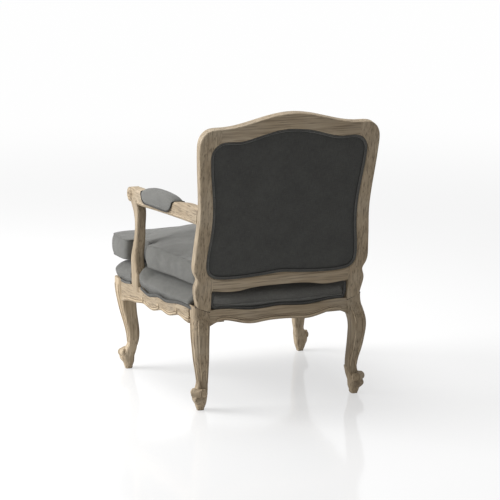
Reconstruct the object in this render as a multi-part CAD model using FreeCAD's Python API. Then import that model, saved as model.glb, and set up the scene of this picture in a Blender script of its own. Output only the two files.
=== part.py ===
import FreeCAD, Part
import math
import os

from FreeCAD import Vector

# Open armchair with carved cabriole legs, a flat padded back and a loose notched seat cushion.
# Millimetres, +Z up. The sitter faces -Y, and the sitter's left is +X.

# Seat frame
FRONT_HALF_WIDTH = 354.0    # middle plane to the outer face of a front leg
REAR_HALF_WIDTH = 288.0     # middle plane to the outer face of a rear leg
SEAT_DEPTH = 614.0          # front face of the front legs to rear face of the rear legs
FRONT_POST = 62.0           # side of a front leg where the rails meet it
REAR_POST = 54.0            # side of a rear leg where the rails meet it
FRONT_FOOT_INSET = 5.0      # foot centre inside the leg post's centre, on each axis
REAR_FOOT_SPREAD_X = 7.0    # foot centre outside the rear post's centre
REAR_FOOT_SPREAD_Y = 16.0   # foot centre behind the rear post's centre
RAIL_TOP = 318.0            # middle line of the wavy rail tops
RAIL_HEIGHT = 46.0          # middle line of the tops to that of the scalloped bottoms
RAIL_THICKNESS = 38.0
RAIL_SETBACK = 3.0          # rail face behind the leg faces
RAIL_LEDGE = 18.0           # width of the inner ledge that carries the webbing
LEDGE_DEPTH = 23.0          # ledge below RAIL_TOP, on the front and rear rails
FRONT_BOW = 14.0            # forward bow of the front rail
SIDE_BOW = 5.0              # outward bow of a side rail
REAR_BOW = 1.0              # rearward bow of the rear rail

# Legs and feet
FOOT_PAD = 21.0             # side of the flat under a foot
TOE = 38.0                  # side of a foot where it flows into the roll
ANKLE = 33.0                # side of a leg at its ankle
ANKLE_HEIGHT = 92.0
LEG_ROUND = 0.2             # corner radius as a part of the section's side
SCROLL_RADIUS = 14.5        # roll on the toe
SCROLL_LENGTH = 37.0
SCROLL_HEIGHT = 57.0
SCROLL_REACH = 16.5         # roll's axis outside the foot centre, along the diagonal
SCROLL_EYE = 6.0            # radius of the raised button on each end of the roll
SCROLL_EYE_RISE = 1.6
SCROLL_ROUND = 3.0

# Back frame
BACK_RECLINE = 10.0         # degrees
BACK_SEAM = 326.0           # height of the joint between a rear leg and its stile
SEAM_SLOPE = 22.0           # degrees, falling towards the middle
BACK_THICKNESS = 32.0
BACK_ROUND = 5.0            # rounding of the outer edges
SIGHT_ROUND = 2.5           # rounding of the edges round the upholstery
CREST_TOP = 950.0
SHOULDER = 911.0            # height of the crest's ends
SHOULDER_HALF = 302.0       # half width at the shoulders
WAIST_HALF = 288.0
HIP_HALF = 297.0
STILE_FOOT_HALF = 284.0
LOWER_RAIL_TOP = 430.0      # at the middle
LOWER_RAIL_HEIGHT = 39.0    # at the middle
MEMBER_JOINT = 232.0        # plane of the joints between stiles and cross rails
STILE_INNER = 235.0         # inner face of a stile under the lower rail
REAR_REBATE = 10.0          # depth that holds the outside back
FRONT_REBATE = 7.0          # depth that holds the inside back
REBATE_LEDGE = 12.0         # width of the tacking ledge between them

# Arms
ARM_HEIGHT = 658.0          # top of the arm where it meets the back
ARM_UNDER = 598.0           # underside of the arm at its middle
ARM_REAR_OUT = 286.0        # outer face at the back
ARM_FRONT_OUT = 346.0       # outer face at the knuckle
ARM_POST_Y = -136.0         # station of the arm post
KNUCKLE_REACH = 56.0        # arm's round end in front of that station
KNUCKLE_RADIUS = 24.0
KNUCKLE_LENGTH = 36.0
KNUCKLE_SHARE = 0.95        # its axis, as a part of the arm's length from the back
ARM_WIDTH = 41.0            # at its widest, under the pad
ARM_SADDLE = 12.0           # top under the pad below the rear end's top
ARM_POST_WIDTH = 37.0       # at the foot
ARM_POST_FRONT = 34.0       # furthest forward bend in front of the station
ARM_POST_REAR = 43.0        # furthest rear bend behind it
ARM_PAD_REAR = 0.36         # ends of the arm pad, as parts of the arm's length from the back
ARM_PAD_FRONT = 0.79
ARM_PAD_SIDE = 6.0          # padding on each side of the arm
ARM_PAD_CROWN = 21.0        # padding on top of it
COVER = 2.5                 # fabric with its wadding

# Seat upholstery
DECK_TOP = 384.5
DECK_BULGE = 6.0            # padded edge outside the rail faces
DECK_BOW = 11.0             # forward bow of its front edge
DECK_CORNER = 26.0          # its front corners' radius in plan
DECK_REAR_GAP = 12.0        # its rear edge in front of the rear legs' rear faces
STRAP_WIDTH = 50.0
STRAP_THICKNESS = 1.6
STRAPS_ALONG = 5
STRAPS_ACROSS = 5
STRAP_SEAT = 13.0           # length of a strap's end on its ledge
HESSIAN = 1.0
PADDING_INSET = 6.0         # deck padding inside the rails' inner faces
DUST_COVER = 1.0
DUST_COVER_DROP = 8.0       # underside of the dust cover below the webbing ledge
CUSHION_EDGE = 75.0         # height of the cushion's border
CUSHION_CROWN = 47.0        # rise of its middle above the border
CUSHION_FRONT_HALF = 356.0  # half width over the front ears
CUSHION_OVERHANG = 26.0     # ears in front of the legs' front faces
CUSHION_REAR_HALF = 266.0
CUSHION_REAR_GAP = 46.0     # rear edge in front of the rear legs' rear faces
CUSHION_LEVEL = 4.0         # draw-in of the sides between corners
CUSHION_SETBACK = 5.0       # sides inside the side rails' faces
CUSHION_BOW = 10.0          # forward bow of its front edge
CUSHION_CORNER = 32.0       # corner radius in plan
DOME_REACH = 0.87           # radius of the crown's foot, as a part of the front half width
NOTCH_ROOM = 9.0            # room round an arm post
NOTCH_CORNER = 9.0
EASE = 900.0                # radius that softens a slight bend in a long edge

# Back upholstery
WELT_WIDTH = 9.0
WELT_HEIGHT = 6.0
PANEL_THICKNESS = 4.0
BACK_STRAPS = 6
BACK_PAD_CROWN = 44.0       # bulge of the inside back in front of the frame
BACK_PAD_EDGE = 12.0        # its height at the edge
BACK_PAD_REACH = 0.45       # radius of the bulge, as a part of the back's height

# Joinery
DOWEL = 10.0
DOWEL_LENGTH = 50.0
BACK_DOWEL = 8.0
BLOCK_LEG = 60.0            # reach of a corner block along the rails, past the leg
BLOCK_HEIGHT = 15.0
SCREW = 5.0
SCREW_LENGTH = 44.0
SCREW_HEAD = 9.0
SCREW_HEAD_HEIGHT = 3.0
FIT = 0.15                  # between a dowel or screw and its hole
CLEARANCE = 0.3             # between pieces that aren't fixed to each other

UP = Vector(0, 0, 1)
ALONG_X = Vector(1, 0, 0)
ALONG_Y = Vector(0, 1, 0)
FRONT_FACE = -SEAT_DEPTH / 2
REAR_FACE = SEAT_DEPTH / 2
RAIL_BOTTOM = RAIL_TOP - RAIL_HEIGHT
LEDGE = RAIL_TOP - LEDGE_DEPTH
SIDE_LEDGE = LEDGE + STRAP_THICKNESS + CLEARANCE
HESSIAN_Z = SIDE_LEDGE + STRAP_THICKNESS + CLEARANCE
DECK_FLOOR = HESSIAN_Z + HESSIAN + CLEARANCE
CUSHION_Z = DECK_TOP + CLEARANCE
BLOCK_TOP = LEDGE - DUST_COVER_DROP - CLEARANCE
TILT = math.radians(BACK_RECLINE)
BACK_INWARD = Vector(0, -math.cos(TILT), math.sin(TILT))
BACK_UP = Vector(0, math.sin(TILT), math.cos(TILT))

# Front leg post and foot, then rear ones, all for the sitter's left
FRONT_POST_X = FRONT_HALF_WIDTH - FRONT_POST / 2
FRONT_POST_Y = FRONT_FACE + FRONT_POST / 2
REAR_POST_X = REAR_HALF_WIDTH - REAR_POST / 2
REAR_POST_Y = REAR_FACE - REAR_POST / 2
FRONT_RAIL_HALF = FRONT_POST_X - FRONT_POST / 2 - CLEARANCE
FRONT_FOOT = Vector(FRONT_POST_X - FRONT_FOOT_INSET, FRONT_POST_Y + FRONT_FOOT_INSET, 0)
REAR_FOOT = Vector(REAR_POST_X + REAR_FOOT_SPREAD_X, REAR_POST_Y + REAR_FOOT_SPREAD_Y, 0)

# Helpers

def mirrored(shape):
    """The same piece on the sitter's right."""
    return shape.mirror(Vector(0, 0, 0), ALONG_X)


def largest(shape):
    return max(shape.Solids, key=lambda solid: solid.Volume)


def fitted(shape, neighbours):
    """A piece with the room of its neighbours cut out of it, one after the other."""
    for neighbour in neighbours:
        if shape.BoundBox.intersect(neighbour.BoundBox):
            shape = largest(shape.cut(neighbour))
    return shape


def drilled(shape, bores):
    """A piece with the bores that reach it cut out together."""
    near = [bore for bore in bores if shape.BoundBox.intersect(bore.BoundBox)]
    return largest(shape.cut(near)) if near else shape


def rounded_rectangle(centre, u, v, size_u, size_v, radius):
    """Closed wire of four lines and four arcs in the plane of the unit vectors u and v."""
    half_u, half_v = size_u / 2, size_v / 2
    flat_u, flat_v = half_u - radius, half_v - radius
    bend = radius * (1 - math.sqrt(0.5))

    def at(a, b):
        return centre + u * a + v * b

    edges = []
    for side_u, side_v in ((1, 1), (-1, 1), (-1, -1), (1, -1)):
        start = at(side_u * half_u, side_v * flat_v)
        middle = at(side_u * (half_u - bend), side_v * (half_v - bend))
        end = at(side_u * flat_u, side_v * half_v)
        arc = Part.Arc(start, middle, end) if side_u == side_v else Part.Arc(end, middle, start)
        edges.append(arc.toShape())
    lines = []
    for edge, following in zip(edges, edges[1:] + edges[:1]):
        lines.append(Part.LineSegment(edge.lastVertex().Point, following.firstVertex().Point).toShape())
    return Part.Wire([piece for pair in zip(edges, lines) for piece in pair])


def loft(wires):
    return Part.makeLoft(wires, True, False, False, 3)


def ruled_loft(wires):
    return Part.makeLoft(wires, True, True)


def envelope(outer, inner):
    """Cover between an outer form and a smaller one that lies wholly inside it."""
    hollow = inner.Shells[0].copy()
    hollow.reverse()
    return Part.makeSolid(Part.makeCompound([outer.Shells[0], hollow]))


def spline(points):
    curve = Part.BSplineCurve()
    curve.interpolate(points)
    return curve.toShape()


def closed_spline(points):
    curve = Part.BSplineCurve()
    curve.interpolate(Points=points, PeriodicFlag=True)
    return curve.toShape()


def prism(edges, direction):
    return Part.Face(Part.Wire(edges)).extrude(direction)


def polygon(points):
    return Part.makePolygon(points + points[:1]).Edges


def dowel(middle, axis, diameter, length):
    unit = Vector(axis).normalize()
    return Part.makeCylinder(diameter / 2, length, middle - unit * (length / 2), unit)


def roll(middle, axis, radius, length):
    """Dowel with both its rims rounded."""
    blank = dowel(middle, axis, 2 * radius, length)
    rims = [edge for edge in blank.Edges if edge.Curve.TypeId == "Part::GeomCircle"]
    return blank.makeFillet(SCROLL_ROUND, rims)


def both_sides(half):
    """Outline points of the left half, from the top middle to the bottom middle, then the right half."""
    return half + [(-x, z) for x, z in reversed(half[1:-1])]


def inset(points, distance):
    """Closed outline moved in by a distance, along each point's normal."""
    count = len(points)
    moved = []
    for index, (x, z) in enumerate(points):
        before = points[index - 1]
        after = points[(index + 1) % count]
        run, rise = after[0] - before[0], after[1] - before[1]
        length = math.hypot(run, rise)
        moved.append((x + distance * rise / length, z - distance * run / length))
    return moved


def between(start, end, share):
    return start + (end - start) * share


# Legs: sections are squares that stay square to the chair and shift outwards and back

def leg(foot, stations):
    """Loft through (height, shift in x, shift in y, side) down to the flat of the foot."""
    wires = []
    for height, shift_x, shift_y, side in stations:
        centre = Vector(foot.x + shift_x, foot.y + shift_y, height)
        wires.append(rounded_rectangle(centre, ALONG_X, ALONG_Y, side, side, side * LEG_ROUND))
    return loft(wires)


def toe_scroll(foot, outward):
    """Roll across the toe with a raised button on each end."""
    axis = Vector(outward.y, -outward.x, 0)
    middle = foot + outward * SCROLL_REACH + UP * SCROLL_HEIGHT
    buttons = dowel(middle, axis, 2 * SCROLL_EYE, SCROLL_LENGTH + 2 * SCROLL_EYE_RISE)
    return roll(middle, axis, SCROLL_RADIUS, SCROLL_LENGTH).fuse(buttons)


def foot_stations(out_x, out_y):
    """The foot's taper from the floor to the ankle, towards the given outward signs."""
    rise = ((0.0, 0.0, FOOT_PAD), (0.24, 3.0, between(FOOT_PAD, TOE, 0.47)), (0.49, 5.5, TOE),
            (0.7, -3.0, between(TOE, ANKLE, 0.6)))
    return [(ANKLE_HEIGHT * share, out_x * shift, out_y * shift, side) for share, shift, side in rise]


def front_leg():
    """The shin leans back from the knee to the ankle, along the diagonal."""
    shin = ((0.0, -12.5, 0.0), (0.08, -13.8, 0.12), (0.22, -11.8, 0.29), (0.4, -5.3, 0.48),
            (0.6, 0.8, 0.72), (0.78, 4.0, 0.93), (0.91, FRONT_FOOT_INSET, 1.0), (1.0, FRONT_FOOT_INSET, 1.0))
    stations = foot_stations(1, -1)
    for share, shift, growth in shin:
        height = between(ANKLE_HEIGHT, RAIL_TOP, share)
        stations.append((height, shift, -shift, between(ANKLE, FRONT_POST, growth)))
    outward = Vector(1, -1, 0).normalize()
    return largest(leg(FRONT_FOOT, stations).fuse(toe_scroll(FRONT_FOOT, outward)).removeSplitter())


def rear_leg():
    """The knee swings further to the rear than to the side, and the top carries the stile."""
    shin = ((0.0, -9.3, -6.3, 0.0), (0.1, -8.0, -3.5, 0.13), (0.24, -3.5, 3.7, 0.42), (0.38, 0.0, 9.0, 0.62),
            (0.52, 2.5, 12.0, 0.78), (0.66, 0.0, 4.0, 0.92),
            (0.82, -REAR_FOOT_SPREAD_X, -REAR_FOOT_SPREAD_Y, 1.0),
            (1.0, -REAR_FOOT_SPREAD_X, -REAR_FOOT_SPREAD_Y, 1.0))
    top = BACK_SEAM + REAR_POST / 2
    stations = foot_stations(1, 1)
    for share, shift_x, shift_y, growth in shin:
        height = between(ANKLE_HEIGHT, top, share)
        stations.append((height, shift_x, shift_y, between(ANKLE, REAR_POST, growth)))
    outward = Vector(1, 1, 0).normalize()
    blank = largest(leg(REAR_FOOT, stations).fuse(toe_scroll(REAR_FOOT, outward)).removeSplitter())
    return largest(blank.cut(seam_wedge(True)))


def seam_wedge(upper):
    """Everything over, or under, the sloping joint plane between a rear leg and its stile."""
    reach = 2 * REAR_POST
    slope = math.tan(math.radians(SEAM_SLOPE))
    inner, outer = REAR_POST_X - reach, REAR_POST_X + reach
    low, high = BACK_SEAM - reach * slope, BACK_SEAM + reach * slope
    far = high + reach if upper else low - reach
    outline = ((inner, low), (outer, high), (outer, far), (inner, far))
    corners = [Vector(x, REAR_FACE - reach, z) for x, z in outline]
    return prism(polygon(corners), ALONG_Y * (2 * reach))


# Seat rails: a bowed band in plan, common with a wavy outline in elevation

def band(start, end, bow, thickness, top):
    """Upright strip from start to end in plan, bowed outwards to the left of its run, and thick inwards."""
    run = (end - start).normalize()
    outward = Vector(run.y, -run.x, 0)
    middle = (start + end) * 0.5 + outward * bow
    inner = [point - outward * thickness for point in (start, middle, end)]
    edges = [Part.Arc(start, middle, end).toShape(), Part.LineSegment(end, inner[2]).toShape(),
             Part.Arc(inner[2], inner[1], inner[0]).toShape(), Part.LineSegment(inner[0], start).toShape()]
    return prism(edges, UP * top)


def wavy_face(top, bottom, across):
    """Elevation between two smooth edges, extruded across the rail."""
    ends = [Part.LineSegment(top[-1], bottom[-1]).toShape(), Part.LineSegment(bottom[0], top[0]).toShape()]
    return prism([spline(top), ends[0], spline(bottom), ends[1]], across)


def symmetric(half):
    return [(-share, drop) for share, drop in reversed(half[1:])] + half


def cross_rail(face_y, half_length, bow, top_wave, bottom_wave, ledge):
    """Front or rear rail between the leg posts. The sign of face_y says which way it faces."""
    facing = math.copysign(1, face_y)
    start = Vector(-facing * half_length, face_y, 0)
    end = Vector(facing * half_length, face_y, 0)
    strip = band(end, start, bow, RAIL_THICKNESS, 2 * RAIL_TOP)
    near = face_y + facing * (bow + RAIL_THICKNESS)
    top = [Vector(share * half_length, near, RAIL_TOP + drop) for share, drop in symmetric(top_wave)]
    bottom = [Vector(share * half_length, near, RAIL_BOTTOM + drop) for share, drop in symmetric(bottom_wave)]
    rail = strip.common(wavy_face(top, bottom, ALONG_Y * (-facing * (2 * bow + 3 * RAIL_THICKNESS))))
    shelf = band(end - ALONG_Y * (facing * (RAIL_THICKNESS - RAIL_LEDGE)),
                 start - ALONG_Y * (facing * (RAIL_THICKNESS - RAIL_LEDGE)), bow, 2 * RAIL_LEDGE, RAIL_TOP)
    shelf.translate(UP * ledge)
    return largest(rail.cut(shelf))


def front_rail():
    top = [(0.0, 4.0), (0.25, 2.0), (0.5, -4.0), (0.75, 0.0), (1.0, -3.0)]
    bottom = [(0.0, -20.0), (0.13, -15.0), (0.28, -4.0), (0.5, 3.0), (0.7, 1.0), (0.86, -9.0), (1.0, -36.0)]
    return cross_rail(FRONT_FACE + RAIL_SETBACK, FRONT_RAIL_HALF, FRONT_BOW, top, bottom, LEDGE)


def rear_rail():
    top = [(0.0, 0.0), (0.17, -3.0), (0.43, -4.0), (0.6, 2.0), (0.82, 5.0), (1.0, 0.0)]
    bottom = [(0.0, 2.0), (0.19, 0.0), (0.34, -4.0), (0.48, 0.0), (0.63, 10.0), (0.77, 13.0), (0.86, 5.0),
              (1.0, -16.0)]
    return cross_rail(REAR_FACE - RAIL_SETBACK, REAR_POST_X, REAR_BOW, top, bottom, LEDGE)


SIDE_START = Vector(FRONT_HALF_WIDTH - RAIL_SETBACK, FRONT_POST_Y, 0)
SIDE_END = Vector(REAR_HALF_WIDTH - RAIL_SETBACK, REAR_POST_Y, 0)
SIDE_INWARD = Vector(SIDE_START.y - SIDE_END.y, SIDE_END.x - SIDE_START.x, 0).normalize()


def side_rail():
    """Left rail, with four scallops that step up towards the rear leg."""
    top_wave = ((0.0, -4.0), (0.12, -8.0), (0.3, 2.0), (0.45, -13.0), (0.57, -2.0), (0.66, -6.0),
                (0.8, 4.0), (1.0, 4.0))
    bottom_wave = ((0.0, -48.0), (0.1, -22.0), (0.22, -12.0), (0.31, -7.0), (0.37, -2.0), (0.45, -8.0),
                   (0.53, -7.0), (0.595, 4.0), (0.69, -1.0), (0.76, 5.0), (0.82, 14.0), (0.88, 9.0),
                   (1.0, 8.0))
    far = FRONT_HALF_WIDTH + RAIL_THICKNESS
    length = SIDE_END.y - SIDE_START.y
    top = [Vector(far, SIDE_START.y + share * length, RAIL_TOP + drop) for share, drop in top_wave]
    bottom = [Vector(far, SIDE_START.y + share * length, RAIL_BOTTOM + drop) for share, drop in bottom_wave]
    strip = band(SIDE_START, SIDE_END, SIDE_BOW, RAIL_THICKNESS, 2 * RAIL_TOP)
    rail = strip.common(wavy_face(top, bottom, ALONG_X * (-far)))
    step = SIDE_INWARD * (RAIL_THICKNESS - RAIL_LEDGE)
    shelf = band(SIDE_START + step, SIDE_END + step, SIDE_BOW, 2 * RAIL_LEDGE, RAIL_TOP)
    shelf.translate(UP * SIDE_LEDGE)
    room = Part.makeBox(2 * far, REAR_POST_Y - FRONT_POST_Y - (FRONT_POST + REAR_POST) / 2 - 2 * CLEARANCE,
                        2 * RAIL_TOP, Vector(0, FRONT_POST_Y + FRONT_POST / 2 + CLEARANCE, 0))
    return largest(rail.cut(shelf).common(room))


def side_inner(y, depth):
    """X of the left side rail's line at y, the given depth in from its outer face."""
    share = (y - SIDE_START.y) / (SIDE_END.y - SIDE_START.y)
    return between(SIDE_START.x, SIDE_END.x, share) - depth


def front_bow(x):
    """How far the front rail has bowed forward at x."""
    return FRONT_BOW * (1 - (x / FRONT_RAIL_HALF) ** 2)


# Back frame: one rounded blank in the reclined plane, opened and sawn into its members

def back_point(x, z, inward):
    """Height z on the rear face of the back, then inward from that face towards the sitter."""
    y = REAR_FACE + (z - BACK_SEAM) * math.tan(TILT)
    return Vector(x, y, z) + BACK_INWARD * inward


def back_points(outline, inward):
    return [back_point(x, z, inward) for x, z in outline]


def back_plate(outline, layers):
    """Ruled loft through closed outlines of the back plane, one for each (depth, inset) layer."""
    wires = [Part.Wire([closed_spline(back_points(inset(outline, step), depth))]) for depth, step in layers]
    return ruled_loft(wires)


def quarter_round(radius):
    """(depth, inset) layers of a rounded edge, from the face inwards."""
    angles = [math.radians(angle) for angle in (0, 30, 60, 90)]
    return [(radius * (1 - math.cos(angle)), radius * (1 - math.sin(angle))) for angle in angles]


SIGHT = both_sides([
    (0, CREST_TOP - 49), (60, CREST_TOP - 55), (115, CREST_TOP - 69), (175, SHOULDER - 42),
    (SHOULDER_HALF - 67, SHOULDER - 45), (SHOULDER_HALF - 42, SHOULDER - 71),
    (SHOULDER_HALF - 39, SHOULDER - 103), (SHOULDER_HALF - 48, SHOULDER - 186), (WAIST_HALF - 42, 630),
    (WAIST_HALF - 38, 560), (HIP_HALF - 39, LOWER_RAIL_TOP + 50), (HIP_HALF - 45, LOWER_RAIL_TOP + 16),
    (HIP_HALF - 61, LOWER_RAIL_TOP), (HIP_HALF - 92, LOWER_RAIL_TOP - 8), (112, LOWER_RAIL_TOP - 8.5),
    (50, LOWER_RAIL_TOP - 4), (0, LOWER_RAIL_TOP)])


def back_blank():
    """Whole frame with rounded outer edges, still without its opening."""
    left = [(0, CREST_TOP), (75, CREST_TOP - 9), (165, SHOULDER + 8), (230, SHOULDER),
            (SHOULDER_HALF - 23, SHOULDER - 7), (SHOULDER_HALF - 7, SHOULDER - 24),
            (SHOULDER_HALF, SHOULDER - 76), (SHOULDER_HALF - 7.5, SHOULDER - 174), (WAIST_HALF, 620),
            (WAIST_HALF + 5, 550), (HIP_HALF, LOWER_RAIL_TOP + 60), (HIP_HALF - 5, LOWER_RAIL_TOP + 10),
            (STILE_FOOT_HALF - 1, LOWER_RAIL_TOP - 10), (STILE_FOOT_HALF + 5, LOWER_RAIL_TOP - 32),
            (STILE_FOOT_HALF + 4, LOWER_RAIL_TOP - 58), (STILE_FOOT_HALF, BACK_SEAM - REAR_POST)]
    outline = [(-x, z) for x, z in reversed(left[1:])] + left
    near = quarter_round(BACK_ROUND)
    far = [(BACK_THICKNESS - depth, step) for depth, step in reversed(near)]
    wires = []
    for depth, step in near + far:
        points = back_points(inset(outline, step), depth)
        wires.append(Part.Wire([spline(points), Part.LineSegment(points[-1], points[0]).toShape()]))
    return ruled_loft(wires)


def under_lower_rail():
    """Space between the stiles' feet, with the lower rail's wavy bottom as its top."""
    middle = LOWER_RAIL_TOP - LOWER_RAIL_HEIGHT
    half = [(0.0, 0.0), (0.2, 0.0), (0.47, -5.0), (0.62, -11.0), (0.8, -10.0), (1.0, -4.0)]
    wave = [back_point(share * STILE_INNER, middle + drop, -1) for share, drop in symmetric(half)]
    foot = [back_point(x, BACK_SEAM - 2 * REAR_POST, -1) for x in (STILE_INNER, -STILE_INNER)]
    edges = [spline(wave), Part.LineSegment(wave[-1], foot[0]).toShape(),
             Part.LineSegment(foot[0], foot[1]).toShape(), Part.LineSegment(foot[1], wave[0]).toShape()]
    return prism(edges, BACK_INWARD * (BACK_THICKNESS + 2))


def sight_opening(face, depth):
    """Rebate for the upholstery from the rear face, or the front one, with a softened rim."""
    rim = [(lift, step - SIGHT_ROUND) for lift, step in reversed(quarter_round(SIGHT_ROUND))]
    layers = [(SIGHT_ROUND - lift, step) for lift, step in rim] + [(depth, 0)]
    if face:
        layers = [(face - lift, step) for lift, step in layers]
    return back_plate(SIGHT, layers)


def back_members():
    """Crest, lower rail and left stile, sawn from the blank at the member joints."""
    through = back_plate(SIGHT, [(-1, REBATE_LEDGE), (BACK_THICKNESS + 1, REBATE_LEDGE)])
    openings = [through, sight_opening(0, REAR_REBATE), sight_opening(BACK_THICKNESS, FRONT_REBATE)]
    frame = largest(back_blank().cut(openings + [under_lower_rail()]))
    span = Part.makeBox(2 * MEMBER_JOINT, 2 * SEAT_DEPTH, 2 * CREST_TOP, Vector(-MEMBER_JOINT, 0, 0))
    middle = sorted(frame.common(span).Solids, key=lambda solid: solid.Volume)[-2:]
    lower, crest = sorted(middle, key=lambda solid: solid.CenterOfMass.z)
    stile = max(frame.cut(span).Solids, key=lambda solid: solid.CenterOfMass.x)
    return crest, lower, largest(stile.cut(seam_wedge(False)))


# Arms: a post lofted upwards from the side rail, and an arm lofted forwards from the back

ARM_REAR_Y = REAR_FACE + (ARM_HEIGHT - BACK_SEAM) * math.tan(TILT) - BACK_THICKNESS / 2
ARM_TIP_Y = ARM_POST_Y - KNUCKLE_REACH


def arm_station(share):
    """Y and outer face of the arm, at a part of its length from the back."""
    return between(ARM_REAR_Y, ARM_TIP_Y, share), between(ARM_REAR_OUT, ARM_FRONT_OUT, share)


def arm_post():
    """S-curved post: (part of its height, front edge and rear edge from its station, slimming)."""
    profile = ((0.0, -28, 37, 0), (0.115, -31, 31, 1), (0.256, -ARM_POST_FRONT, 19, 2), (0.36, -31, 13, 3),
               (0.53, -6, 29, 4), (0.705, 11, 39, 5), (0.82, 6, ARM_POST_REAR, 4), (0.93, -18, 36, 3),
               (1.0, -ARM_POST_FRONT, 33, 3))
    foot, top = RAIL_TOP - RAIL_HEIGHT / 3, ARM_UNDER + KNUCKLE_RADIUS / 2
    foot_out = side_inner(ARM_POST_Y, -SIDE_BOW)
    top_out = between(ARM_FRONT_OUT, ARM_REAR_OUT, KNUCKLE_REACH / (ARM_REAR_Y - ARM_TIP_Y))
    wires = []
    for share, front, rear, slimming in profile:
        width = ARM_POST_WIDTH - slimming
        outer = between(foot_out, top_out, share)
        centre = Vector(outer - width / 2, ARM_POST_Y + (front + rear) / 2, between(foot, top, share))
        wires.append(rounded_rectangle(centre, ALONG_X, ALONG_Y, width, rear - front, width / 4))
    return loft(wires)


def armrest():
    """Arm from the back to its knuckle: (part of its length, underside, top, slimming)."""
    profile = ((0.0, 4, 0, 9), (0.12, 4, 1, 9), (0.24, 3.5, -2, 6), (0.37, 2, -10, 2),
               (0.52, 0, -ARM_SADDLE - 1, 0), (0.69, -3, -ARM_SADDLE - 1, 0), (0.81, -5, -11, 2),
               (0.89, -4, -10, 4), (0.96, 2, -14, 6))
    wires = []
    for share, under, top, slimming in profile:
        width = ARM_WIDTH - slimming
        y, outer = arm_station(share)
        low, high = ARM_UNDER + under, ARM_HEIGHT + top
        centre = Vector(outer - width / 2, y, (low + high) / 2)
        wires.append(rounded_rectangle(centre, ALONG_X, UP, width, high - low, width / 3.5))
    knuckle_y, knuckle_out = arm_station(KNUCKLE_SHARE)
    middle = Vector(knuckle_out - KNUCKLE_LENGTH / 2, knuckle_y, ARM_UNDER + KNUCKLE_RADIUS)
    knuckle = roll(middle, ALONG_X, KNUCKLE_RADIUS, KNUCKLE_LENGTH)
    return largest(loft(wires).fuse(knuckle).removeSplitter().cut(behind_back_face()))


def behind_back_face():
    """Block behind the front plane of the back frame, where the arms end."""
    corner = back_point(-SHOULDER_HALF, BACK_SEAM, BACK_THICKNESS)
    sides = [ALONG_X * (2 * SHOULDER_HALF), BACK_UP * CREST_TOP]
    return prism(polygon([corner, corner + sides[0], corner + sides[0] + sides[1], corner + sides[1]]),
                 BACK_INWARD * (-2 * BACK_THICKNESS))


def arm_pad(skin):
    """Padding that wraps the arm's top and sides, its hem rising at both ends, less a skin all round."""
    profile = ((0.0, 0.85, -15), (0.07, 0.5, -9), (0.2, 0.28, -3), (0.4, 0.22, 0), (0.6, 0.22, 0),
               (0.8, 0.28, -3), (0.93, 0.5, -8), (1.0, 0.88, -14))
    pull_in = 2 * skin / ((ARM_PAD_FRONT - ARM_PAD_REAR) * (ARM_REAR_Y - ARM_TIP_Y))
    wires = []
    for share, hem, drop in profile:
        y, outer = arm_station(between(ARM_PAD_REAR, ARM_PAD_FRONT, between(share, 0.5, pull_in)))
        top = ARM_HEIGHT - ARM_SADDLE + ARM_PAD_CROWN + drop - skin
        low = between(ARM_UNDER, ARM_HEIGHT, hem)
        width = ARM_WIDTH + 2 * (ARM_PAD_SIDE - skin)
        centre = Vector(outer - ARM_WIDTH / 2, y, (low + top) / 2)
        wires.append(rounded_rectangle(centre, ALONG_X, UP, width, top - low, min(width, top - low) / 2.3))
    return ruled_loft(wires)


# Seat upholstery

def rounded_polygon(corners, height):
    """Closed wire through (x, y, radius) corners with tangent arcs, at one height."""
    count = len(corners)
    arcs = []
    for index, (x, y, radius) in enumerate(corners):
        corner = Vector(x, y, height)
        last, following = corners[index - 1], corners[(index + 1) % count]
        before = Vector(last[0] - x, last[1] - y, 0).normalize()
        after = Vector(following[0] - x, following[1] - y, 0).normalize()
        half_angle = before.getAngle(after) / 2
        reach = radius / math.tan(half_angle)
        bisector = (before + after).normalize()
        middle = corner + bisector * (radius / math.sin(half_angle) - radius)
        arcs.append(Part.Arc(corner + before * reach, middle, corner + after * reach).toShape())
    edges = []
    for arc, following in zip(arcs, arcs[1:] + arcs[:1]):
        edges.append(arc)
        edges.append(Part.LineSegment(arc.lastVertex().Point, following.firstVertex().Point).toShape())
    return Part.Wire(edges)


def mirrored_corners(left):
    """Corners of the left half, front to rear, closed by the right half."""
    return left + [(-x, y, radius) for x, y, radius in reversed(left)]


def deck_wire(height, grow):
    """Outline of the padded platform over the rails, and between the stiles at the rear."""
    front = FRONT_FACE + RAIL_SETBACK - grow
    front_x = SIDE_START.x + grow
    rear_x = SIDE_END.x + grow
    shoulder = REAR_POST_Y - REAR_POST / 2
    tail = REAR_FACE - DECK_REAR_GAP + grow
    left = [(FRONT_POST_X / 2, front - DECK_BOW, EASE / 4), (front_x, front, DECK_CORNER),
            (rear_x, shoulder, DECK_CORNER / 3),
            (STILE_INNER - CLEARANCE, shoulder + DECK_CORNER / 5, DECK_CORNER / 4),
            (STILE_INNER - DECK_CORNER / 5, tail, DECK_CORNER / 3)]
    return rounded_polygon(mirrored_corners(left), height)


def deck_form():
    """Padded platform with a rolled upper edge: (part of its height over the rails, growth)."""
    layers = ((0.0, -2), (0.22, 0.6 * DECK_BULGE), (0.45, DECK_BULGE), (0.65, 0.4 * DECK_BULGE), (0.82, -6),
              (0.94, -17), (1.0, -32))
    wires = [deck_wire(between(RAIL_TOP, DECK_TOP, share), grow) for share, grow in layers]
    return ruled_loft([deck_wire(DECK_FLOOR, -4)] + wires)


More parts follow.
